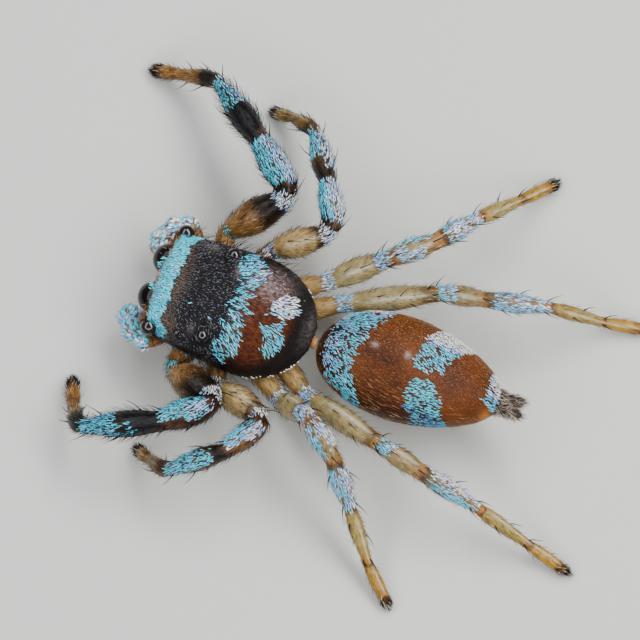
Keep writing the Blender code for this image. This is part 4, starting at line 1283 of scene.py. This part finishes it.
def build_abdomen_hairs(ground, finish):
    def bare(points, normals, unwrap):
        return (~abdomen_scales_at(points)) * 1.0

    def flanks(points, normals, unwrap):
        local = abdomen_local(points)
        return (np.abs(normals[:, 2]) < 0.55) * smooth_step(-1.4, -0.9, local[:, 1]) * 0.8

    coats = []
    spots = ground.spots(1100.0, 0.021, bare)
    left = smooth_step(0.35, 0.75, abdomen_local(spots[0])[:, 0])
    kept = RANDOM.random(len(left)) < 1.0 - 0.86 * left
    spots = picked(spots, kept)
    left = left[kept]
    points = spots[0]
    heading = along_skin(tailward(points, 14.0), spots, 10.0 - 6.0 * left, 9.0)
    right = smooth_step(0.35, -0.5, abdomen_local(points)[:, 0])
    tone = within_one(scattered(spots, 0.52, 0.10) + 0.14 * left + 0.14 * right)
    length = spread(spots, 0.052, 0.3) * (1.0 + 3.0 * left)
    width = 0.0055 - 0.0010 * left
    coats.append(laid(FINE_HAIR_SHAPE, spots, heading, length, width, 0.0045, 0.12, tone))
    spots = ground.spots(60.0, 0.06, flanks)
    points = spots[0]
    heading = along_skin(tailward(points, 0.0, 0.3), spots, 14.0, 34.0)
    tone = within_one(scattered(spots, 0.66, 0.1))
    coats.append(laid(HAIR_SHAPE, spots, heading, spread(spots, 0.16, 0.3), 0.0045, 0.0045, 0.35, tone))
    coats.append(tail_tuft(ground))
    finish_piece("abdomen_hairs", join_coats(coats), finish)


def tail_tuft(ground):
    """Hairs of the abdomen's end that lie over the roots of the spinnerets."""
    def at_end(points, normals, unwrap):
        local = abdomen_local(points)
        return (local[:, 1] > 1.80) & (local[:, 2] > -0.10)

    spots = ground.spots(2600.0, 0.012, at_end)
    heading = along_skin(tailward(spots[0]), spots, 14.0, 40.0)
    pick = chance(spots)
    tone = np.where(pick < 0.30, 0.92, np.where(pick < 0.45, spread(spots, 0.50, 0.15),
                                                spread(spots, 0.18, 0.6)))
    return laid(HAIR_SHAPE, spots, heading, spread(spots, 0.26, 0.3), 0.0065, 0.0065, 0.1, tone)


def build_spinnerets(finish, hairs):
    end = ABDOMEN_REAR * (1.0 - (ABDOMEN_REAR_PAD / ABDOMEN_HALF_WIDTH) ** 2) ** (1.0 / ABDOMEN_REAR_POWER)
    fingers = []
    tufts = []
    for side_offset, height_offset, turn, lift, length, root in SPINNERETS:
        for _, side in SIDES:
            swing = math.radians(turn) * side
            rise = math.radians(lift)
            local = Vector((math.sin(swing), math.cos(swing) * math.cos(rise), math.sin(rise)))
            heading = (ABDOMEN_FRAME.to_3x3() @ local).normalized()
            base = ABDOMEN_FRAME @ Vector((side * side_offset, end - 0.10, height_offset))
            across = heading.cross(UP).normalized()
            above = across.cross(heading)
            reach = length + 0.12

            def place(along, around):
                half = root * SPINNERET_GIRTH * (1.0 - 0.35 * along ** 2) * closing(along, SPINNERET_CAP)
                angle = 2.0 * math.pi * around
                outward = across * math.cos(angle) + above * math.sin(angle)
                return base + heading * reach * along + outward * half

            mesh = to_mesh(rolled(20, 18, place))
            spots = Ground(mesh).spots(2600.0, 0.012)
            pick = chance(spots)
            tone = np.where(pick < 0.34, 0.93, np.where(pick < 0.5, spread(spots, 0.50, 0.15),
                                                        spread(spots, 0.24, 0.5)))
            tufts.append(laid(HAIR_SHAPE, spots, along_skin(np.array(heading), spots, 30.0, 26.0),
                              spread(spots, 0.13, 0.45), 0.0065, 0.0065, 0.1, tone))
            fingers.append(mesh)
    finish_piece("spinneret_fingers", join_coats(fingers), finish, ("spinnerets",))
    finish_piece("spinneret_hairs", join_coats(tufts), hairs)


# Limbs


class LimbPath:
    """Straight stretches joined by round bends, read by the distance along them."""

    def __init__(self, corners, bends):
        self.stretches = []
        self.joints = [0.0]
        self.length = 0.0
        start = corners[0]
        for index in range(1, len(corners) - 1):
            corner = corners[index]
            arrive = (corner - corners[index - 1]).normalized()
            leave = (corners[index + 1] - corner).normalized()
            turn = arrive.angle(leave)
            radius = bends.get(index, 0.0)
            trim = radius * math.tan(0.5 * turn)
            self.add_line(start, corner - arrive * trim)
            if radius:
                self.add_bend(corner - arrive * trim, arrive, leave, radius, turn)
                self.joints.append(self.length - 0.5 * radius * turn)
            else:
                self.joints.append(self.length)
            start = corner + leave * trim
        self.add_line(start, corners[-1])
        self.joints.append(self.length)

    def add_line(self, start, end):
        reach = (end - start).length
        self.stretches.append(("line", self.length, reach, start, (end - start).normalized(), None, 0.0))
        self.length += reach

    def add_bend(self, start, arrive, leave, radius, turn):
        inward = (leave - arrive * arrive.dot(leave)).normalized()
        self.stretches.append(("bend", self.length, radius * turn, start, arrive, inward, radius))
        self.length += radius * turn

    def read(self, distance):
        """The place and the direction of the path at a distance along it."""
        for kind, begin, reach, start, direction, inward, radius in self.stretches:
            if distance <= begin + reach or begin + reach >= self.length - 1e-9:
                travel = distance - begin
                if kind == "line":
                    return start + direction * travel, direction
                angle = travel / radius
                place = start + (inward * (1.0 - math.cos(angle)) + direction * math.sin(angle)) * radius
                return place, direction * math.cos(angle) + inward * math.sin(angle)

    def segment(self, distance):
        """The segment and the share of it, such as 2.5 for the middle of the patella."""
        last = len(self.joints) - 2
        index = next((i for i in range(last) if distance < self.joints[i + 1]), last)
        span = self.joints[index + 1] - self.joints[index]
        return index + min((distance - self.joints[index]) / span, 0.999)

    def distance(self, segment):
        index = min(int(segment), len(self.joints) - 2)
        return self.joints[index] + (self.joints[index + 1] - self.joints[index]) * (segment - index)


def limb_radius(path, widths, distance):
    """Half width along a limb: each segment swells between the necks at its two joints."""
    last = len(path.joints) - 2
    segment = int(path.segment(distance))
    share = path.segment(distance) - segment
    own = widths[segment]
    before = NECK * min(own, widths[max(segment - 1, 0)])
    after = widths[segment + 1] if segment == last else NECK * min(own, widths[segment + 1])
    peak = SEGMENT_PEAK[segment]
    if share < peak:
        return 0.5 * (before + (own - before) * ease(share / peak) ** 0.8)
    return 0.5 * (own + (after - own) * ease((share - peak) / (1.0 - peak)))


def limb_skin(path, widths, tallness, rows, sides):
    """The skin of a limb, with the place along it kept for each point."""
    reach = path.length + TIP_REACH * widths[-1]

    def place(along, around):
        distance = reach * along
        centre, direction = path.read(distance)
        radius = limb_radius(path, widths, min(distance, path.length)) * closing(along, LIMB_CAP)
        across = direction.cross(UP).normalized()
        above = across.cross(direction).normalized()
        angle = 2.0 * math.pi * around
        point = centre + across * radius * math.sin(angle) + above * radius * tallness * math.cos(angle)
        point.z = max(point.z, 0.0)
        return point

    return to_mesh(rolled(rows, sides, place))


def limb_coordinates(path, points, unwrap_along, tip):
    """For points on a limb: its segment there, how far up and sideways, and its direction."""
    distances = unwrap_along * (path.length + tip)
    along = np.zeros(len(points))
    top = np.zeros(len(points))
    side = np.zeros(len(points))
    directions = np.zeros((len(points), 3))
    for index, (point, distance) in enumerate(zip(points, distances)):
        centre, direction = path.read(distance)
        away = Vector(point) - centre
        away -= direction * away.dot(direction)
        away.normalize()
        across = direction.cross(UP).normalized()
        along[index] = path.segment(min(distance, path.length))
        top[index] = away.dot(across.cross(direction))
        side[index] = away.dot(across)
        directions[index] = direction
    return along, top, side, directions


def leg_corners(side_name, number):
    side = 1.0 if side_name == "left" else -1.0
    mirror = Matrix.Scale(side, 3, (1.0, 0.0, 0.0))
    corners = [mirror @ Vector(COXA_ROOT[number]), mirror @ Vector(HIP[number])]
    lengths = LEG_LENGTHS[number]
    *angled, tarsus_swing = LEG_POSE[side_name, number]
    for length, (swing, lift) in zip(lengths, angled):
        swing = math.radians(swing)
        lift = math.radians(lift)
        heading = Vector((math.cos(lift) * math.cos(swing),
                          math.cos(lift) * math.sin(swing), math.sin(lift)))
        corners.append(corners[-1] + mirror @ heading * length)
    sole = SOLE_SHARE * CLAW_PAD_WIDTHS[number]
    fall = math.asin(min((corners[-1].z - sole) / lengths[-1], 0.9))
    swing = math.radians(tarsus_swing)
    heading = Vector((math.cos(fall) * math.cos(swing), math.cos(fall) * math.sin(swing), -math.sin(fall)))
    corners.append(corners[-1] + mirror @ heading * lengths[-1])
    return corners


def angle_round(side_name, number, top, across):
    """Degrees round a leg, from its top to its front side, in the leg's own roll."""
    front = across if side_name == "left" else -across
    return np.degrees(np.arctan2(front, top)) - LEG_ROLL.get((side_name, number), 0)


def leg_scales_at(number, along, angle, ragged=0.0):
    """How densely scales stand, and their tone."""
    dense = np.zeros(len(along))
    tone = np.full(len(along), 0.5)
    along = along + ragged
    angle = angle + 200.0 * ragged
    for first, last, rear, front, density, shade in LEG_SCALES[number]:
        field = (along > first) & (along < last) & (angle > rear) & (angle < front)
        dense = np.where(field, density, dense)
        tone = np.where(field, shade, tone)
    return dense, tone


GLARE = np.array((-0.42, 0.58, 0.70))  # the side from which the light falls; scales that face it get a painted highlight


def build_leg(side_name, number, finish, scales, hairs):
    bends = {1: BEND_RADIUS["hip"], 2: BEND_RADIUS["knee"], 4: BEND_RADIUS["ankle"]}
    path = LimbPath(leg_corners(side_name, number), bends)
    widths = LEG_WIDTHS[number]
    tip = TIP_REACH * widths[-1]
    stem = f"leg_{side_name}_{number}"
    mesh = limb_skin(path, widths, LEG_TALLNESS[number], LEG_ROWS, LEG_SIDES)
    along, top, across, _ = limb_coordinates(path, mesh_points(mesh), take_reading(mesh, "along"), tip)
    paint(mesh, "along", along)
    femur = smooth_step(1.25, 1.4, along) * smooth_step(1.95, 1.8, along)
    lower = smooth_step(4.1, 4.3, along) * smooth_step(5.2, 4.9, along)
    patella = smooth_step(2.15, 2.3, along) * smooth_step(2.9, 2.75, along)
    toes = smooth_step(5.08, 5.15, along) * smooth_step(5.8, 5.6, along)
    # Painted highlight: a pale streak along the top of the femur, patella, metatarsus and tarsus, on the
    # side towards the light.
    gloss = top * 0.94 - across * 0.34 if side_name == "left" else top * 0.94 + across * 0.34
    paint(mesh, "painted_gloss_streak", smooth_step(0.970, 0.999, gloss) * np.maximum.reduce([femur,
                                                                                lower, patella, toes]))
    dense = leg_scales_at(number, along, angle_round(side_name, number, top, across))[0]
    paint(mesh, "scaled", dense * 0.6)
    ground = Ground(mesh)
    nodes = [f"{stem}_{part}" for part in ("coxa", "femur", "tibia", "foot")]
    finish_piece(f"{stem}_skin", mesh, finish, nodes)
    build_leg_scales(stem, number, side_name, path, tip, ground, scales)
    build_leg_hairs(stem, number, path, tip, ground, hairs)


def build_leg_scales(stem, number, side_name, path, tip, ground, finish):
    points, normals, unwrap = ground.spots(2600.0, SCALE_SPACING)
    along, top, across, directions = limb_coordinates(path, points, unwrap[:, 0], tip)
    angle = angle_round(side_name, number, top, across)
    dense, tone = leg_scales_at(number, along, angle, RANDOM.normal(0.0, 0.025, len(points)))
    kept = patchy(points, dense, 11.0, 0.35) & (dense > 0.0)
    spots = picked((points, normals, unwrap), kept)
    normals, tone = normals[kept], tone[kept]
    heading = along_skin(directions[kept], spots, 9.0, 14.0)
    # Painted highlight: scales that face the light are painted whiter.
    glare = smooth_step(0.45, 0.98, normals @ GLARE)
    shine = 0.30 if number <= 2 else 0.22
    tone = within_one(tone + scattered(spots, 0.0, 0.12) + shine * glare)
    mesh = laid(SCALE_SHAPE, spots, heading, spread(spots, 0.080, 0.25),
                spread(spots, 0.021, 0.2), 0.009, 0.12, tone)
    finish_piece(f"{stem}_scales", mesh, finish)


# Bristles of each pair of legs: place along the leg, angle from the top in degrees, length in mm
LEG_BRISTLES = {
    1: ((1.89, -78, 0.34), (2.03, -62, 0.34), (2.03, 62, 0.34), (2.08, -22, 0.36), (1.35, 0, 0.30),
        (1.55, -12, 0.34), (1.75, 10, 0.36), (1.92, -30, 0.38), (1.94, 30, 0.38), (2.1, 60, 0.24),
        (2.45, -70, 0.22), (2.9, 50, 0.28), (2.92, -50, 0.28), (3.2, 75, 0.34), (3.45, -75, 0.34),
        (3.7, 85, 0.34), (3.9, -80, 0.32), (3.95, 40, 0.26), (4.3, 95, 0.30), (4.32, -95, 0.30),
        (4.7, 95, 0.26), (4.72, -95, 0.26)),
    2: ((1.89, -76, 0.32), (2.03, -60, 0.30), (2.03, 60, 0.32), (2.08, -20, 0.32), (1.40, 0, 0.28),
        (1.65, 12, 0.32), (1.88, -30, 0.36), (1.92, 30, 0.36), (2.2, 70, 0.22), (2.9, 50, 0.26),
        (2.92, -50, 0.26), (3.3, 80, 0.30), (3.5, -80, 0.30), (3.85, 70, 0.28), (3.87, -70, 0.28),
        (4.4, 95, 0.26), (4.42, -95, 0.26)),
    3: ((1.93, -66, 0.28), (1.96, 64, 0.28), (1.35, 0, 0.28), (1.60, 10, 0.30), (1.85, -28, 0.34),
        (1.90, 28, 0.34), (2.1, 8, 0.24), (2.88, 10, 0.30), (3.25, 70, 0.24), (3.3, -70, 0.24),
        (3.85, 60, 0.30), (3.88, -60, 0.30), (4.2, 50, 0.22), (4.5, -70, 0.26), (4.92, 40, 0.24),
        (4.94, -40, 0.24)),
    4: ((1.70, 62, 0.26), (1.94, -64, 0.26), (1.97, 62, 0.26), (1.40, 0, 0.26), (1.62, 8, 0.28),
        (1.88, -25, 0.32), (1.93, 25, 0.32), (2.12, 6, 0.24), (2.88, 10, 0.28), (3.25, 70, 0.22),
        (3.5, -70, 0.22), (3.86, 55, 0.28), (3.9, -55, 0.28), (4.35, 45, 0.22), (4.55, -60, 0.22),
        (4.92, 40, 0.24), (4.95, -40, 0.24)),
}


BRISTLE_SINK = 0.96  # how deep bristles are rooted, as a share of the leg's radius


def bristle_spots(path, number):
    """Places, normals, headings and lengths of the bristles of a leg."""
    points, normals, directions, lengths, unwrap = [], [], [], [], []
    for along, angle, length in LEG_BRISTLES[number]:
        distance = path.distance(along)
        centre, direction = path.read(distance)
        radius = BRISTLE_SINK * limb_radius(path, LEG_WIDTHS[number], distance)
        across = direction.cross(UP).normalized()
        above = across.cross(direction).normalized()
        turn = math.radians(angle)
        height = radius * LEG_TALLNESS[number] * math.cos(turn)
        points.append(centre + across * radius * math.sin(turn) + above * height)
        normals.append((across * math.sin(turn) + above * math.cos(turn)).normalized())
        directions.append(direction)
        lengths.append(length)
        unwrap.append((distance / path.length, (angle / 360.0) % 1.0))
    return (np.array(points), np.array(normals), np.array(unwrap)), np.array(directions), np.array(lengths)


def build_leg_hairs(stem, number, path, tip, ground, finish):
    coats = []
    spots, directions, lengths = bristle_spots(path, number)
    heading = along_skin(directions, spots, 8.0, 42.0)
    coats.append(laid(BRISTLE_SHAPE, spots, heading, 1.2 * lengths, 0.023, 0.023, 0.30, 0.02))
    spots = ground.spots(LEG_DOWN[number], 0.034)
    points, _, unwrap = spots
    along, _, _, directions = limb_coordinates(path, points, unwrap[:, 0], tip)
    heading = along_skin(directions, spots, 10.0, 15.0)
    dark = smooth_step(1.45, 1.7, along) * smooth_step(4.5, 4.2, along) if number <= 2 else 0.1
    tone = within_one(scattered(spots, 0.72, 0.13) - 0.5 * dark)
    coats.append(laid(HAIR_SHAPE, spots, heading, spread(spots, 0.11, 0.35), 0.0065, 0.0065, 0.2, tone))
    spots = ground.spots(LEG_LONG_HAIRS[number], 0.034)
    points, _, unwrap = spots
    along, _, _, directions = limb_coordinates(path, points, unwrap[:, 0], tip)
    heading = along_skin(directions, spots, 12.0, 40.0)
    length = spread(spots, 0.15, 0.3)
    if number == 1:
        length = length * (1.0 + 0.7 * smooth_step(3.0, 3.15, along) * smooth_step(4.0, 3.8, along))
    coats.append(laid(HAIR_SHAPE, spots, heading, length, 0.0085, 0.0085, 0.3, spread(spots, 0.06, 0.9)))
    coats.append(claw_tuft(path, ground))
    finish_piece(f"{stem}_hairs", join_coats(coats), finish)


def claw_tuft(path, ground):
    """The pad of dark hairs round the claws."""
    def at_tip(points, normals, unwrap):
        return smooth_step(0.950, 0.975, unwrap[:, 0])

    spots = ground.spots(3200.0, 0.014, at_tip)
    heading = along_skin(np.array(path.read(path.length)[1]), spots, 14.0, 16.0)
    heading[:, 2] = np.maximum(heading[:, 2], -0.02 - spots[0][:, 2])
    tone = np.where(chance(spots) < 0.15, spread(spots, 0.97, 0.03), spread(spots, 0.10, 0.8))
    return laid(HAIR_SHAPE, spots, heading, spread(spots, 0.12, 0.3), 0.009, 0.009, -0.05, tone)


def build_palp(side_name, side, finish, scales, hairs):
    corners = [Vector((side * x, y, z)) for x, y, z in PALP_POINTS[side_name]]
    path = LimbPath(corners, {1: PALP_BEND_RADIUS, 2: PALP_BEND_RADIUS, 3: PALP_BEND_RADIUS})
    stem = f"palp_{side_name}"
    tip = TIP_REACH * PALP_WIDTHS[-1]
    mesh = limb_skin(path, PALP_WIDTHS, 1.0, 80, 24)
    along = limb_coordinates(path, mesh_points(mesh), take_reading(mesh, "along"), tip)[0]
    paint(mesh, "along", along * 1.5)
    paint(mesh, "painted_gloss_streak", along * 0.0)
    paint(mesh, "scaled", along * 0.0)
    ground = Ground(mesh)
    nodes = [f"{stem}_{part}" for part in ("femur", "tibia", "tarsus")]
    finish_piece(f"{stem}_skin", mesh, finish, nodes)
    spots = ground.spots(900.0)
    points, _, unwrap = spots
    along, top, _, directions = limb_coordinates(path, points, unwrap[:, 0], tip)
    dense = smooth_step(1.0, 1.3, along) * smooth_step(-0.5, 0.0, top) * smooth_step(3.95, 3.7, along)
    kept = np.nonzero(RANDOM.random(len(points)) < dense)[0]
    kept = kept[thin_out(points[kept], 0.050)]
    spots = picked(spots, kept)
    heading = along_skin(directions[kept], spots, 18.0, 18.0)
    tone = within_one(scattered(spots, 0.64 if side_name == "left" else 0.80, 0.20))
    mesh = laid(SCALE_SHAPE, spots, heading,
                spread(spots, 0.13, 0.25), spread(spots, 0.076, 0.2), 0.014, 0.12, tone)
    finish_piece(f"{stem}_scales", mesh, scales)
    spots = ground.spots(150.0, 0.035)
    points, _, unwrap = spots
    directions = limb_coordinates(path, points, unwrap[:, 0], tip)[3]
    heading = along_skin(directions, spots, 14.0, 34.0)
    tone = within_one(scattered(spots, 0.72, 0.15))
    mesh = laid(HAIR_SHAPE, spots, heading, spread(spots, 0.16, 0.35), 0.008, 0.008, 0.2, tone)
    finish_piece(f"{stem}_hairs", mesh, hairs)


# Floor, light and camera


def set_stage():
    bm = bmesh.new()
    bmesh.ops.create_grid(bm, x_segments=1, y_segments=1, size=0.25)
    mesh = to_mesh(bm)
    material, _, shader = new_material("pale floor")
    shader.inputs["Base Color"].default_value = (0.60, 0.61, 0.59, 1.0)
    shader.inputs["Roughness"].default_value = 0.9
    mesh.materials.append(material)
    floor = bpy.data.objects.new("floor", mesh)
    floor.location.z = -0.00001
    bpy.context.scene.collection.objects.link(floor)


def add_light(name, place_mm, size_mm, power, colour=(1.0, 1.0, 1.0)):
    light = bpy.data.lights.new(name, "AREA")
    light.shape = "RECTANGLE"
    light.size = size_mm[0] * MILLIMETRE
    light.size_y = size_mm[1] * MILLIMETRE
    light.energy = power
    light.color = colour
    item = bpy.data.objects.new(name, light)
    target = (Vector(CAMERA_TARGET) + SHIFT) * MILLIMETRE
    item.location = target + Vector(place_mm) * MILLIMETRE
    item.rotation_euler = (target - item.location).to_track_quat("-Z", "Y").to_euler()
    bpy.context.scene.collection.objects.link(item)


CAMERA_TARGET = (-0.336, 3.075, 1.5)
CAMERA_TILT = (0.24, 0.08, 1.0)  # from the spider to the camera
CAMERA_RIGHT = (-0.3633, 0.9317, 0.0)
CAMERA_DISTANCE = 0.16
VIEW_WIDTH = 11.94  # mm across the picture


def set_camera():
    data = bpy.data.cameras.new("camera")
    data.sensor_width = 36.0
    data.lens = 36.0 * CAMERA_DISTANCE / (VIEW_WIDTH * MILLIMETRE)
    data.clip_start = 0.01
    data.clip_end = 10.0
    camera = bpy.data.objects.new("camera", data)
    back = Vector(CAMERA_TILT).normalized()
    right = Vector(CAMERA_RIGHT)
    right = (right - back * right.dot(back)).normalized()
    above = back.cross(right)
    place = (Vector(CAMERA_TARGET) + SHIFT) * MILLIMETRE + back * CAMERA_DISTANCE
    turn = Matrix((right, above, back)).transposed().to_4x4()
    camera.matrix_world = Matrix.Translation(place) @ turn
    bpy.context.scene.collection.objects.link(camera)
    bpy.context.scene.camera = camera


def set_lights():
    add_light("soft box right", (-28, 23, 58), (88, 26), 0.068, (1.0, 0.99, 0.97))
    add_light("soft box left", (56, -13, 54), (88, 26), 0.026, (0.97, 0.99, 1.0))
    add_light("soft box rear", (32, 47, 56), (88, 26), 0.031, (1.0, 0.99, 0.97))
    add_light("soft box front", (-4, -37, 56), (88, 26), 0.029, (0.97, 0.99, 1.0))
    world = bpy.data.worlds.new("studio")
    bpy.context.scene.world = world
    world.use_nodes = True
    background = world.node_tree.nodes["Background"]
    background.inputs["Color"].default_value = (0.90, 0.94, 1.0, 1.0)
    background.inputs["Strength"].default_value = 0.14


def dress_bare_nodes(horn, dark_horn, waist):
    for name, material in (("sternum", horn), ("labium", horn), ("maxilla_left", horn),
                           ("maxilla_right", horn),
                           ("fang_left", dark_horn), ("fang_right", dark_horn), ("pedicel", waist)):
        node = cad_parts[name]
        node.data.materials.clear()
        node.data.materials.append(material)


def main():
    scales = scale_finish()
    hairs = hair_finish()
    build_shield(shield_finish(), scales, hairs, head_hair_finish())
    build_eyes(eye_finish("front eye domes", 0.22, 0.0), eye_finish("side eye domes", 0.5, 0.5))
    build_jaws(horn_finish("jaw horn", (0.05, 0.018, 0.01), (0.13, 0.05, 0.025), 0.30))
    build_abdomen(abdomen_finish(), scales, hairs)
    build_spinnerets(horn_finish("spinneret skin", (0.02, 0.014, 0.012), (0.07, 0.05, 0.035), 0.5), hairs)
    finishes = {
        1: leg_finish("foreleg skin", FORELEG_STOPS, 0.0, (0.060, 0.028, 0.010)),
        2: leg_finish("second leg skin", SECOND_LEG_STOPS, 0.20, (0.10, 0.048, 0.018)),
        3: leg_finish("hind leg skin", HIND_LEG_STOPS, 0.36, (0.15, 0.09, 0.035)),
    }
    finishes[4] = finishes[3]
    palp = leg_finish("palp skin", PALP_STOPS, 0.0, (0.2, 0.1, 0.05))
    for side_name, side in SIDES:
        build_palp(side_name, side, palp, scales, hairs)
        for number in (1, 2, 3, 4):
            build_leg(side_name, number, finishes[number], scales, hairs)
    dress_bare_nodes(
        horn_finish("underside horn", (0.26, 0.12, 0.045), (0.42, 0.22, 0.09), 0.42),
        horn_finish("fang horn", (0.03, 0.008, 0.004), (0.09, 0.02, 0.01), 0.2),
        horn_finish("waist skin", (0.40, 0.18, 0.06), (0.58, 0.28, 0.09), 0.45),
    )
    set_stage()
    set_lights()
    set_camera()


main()
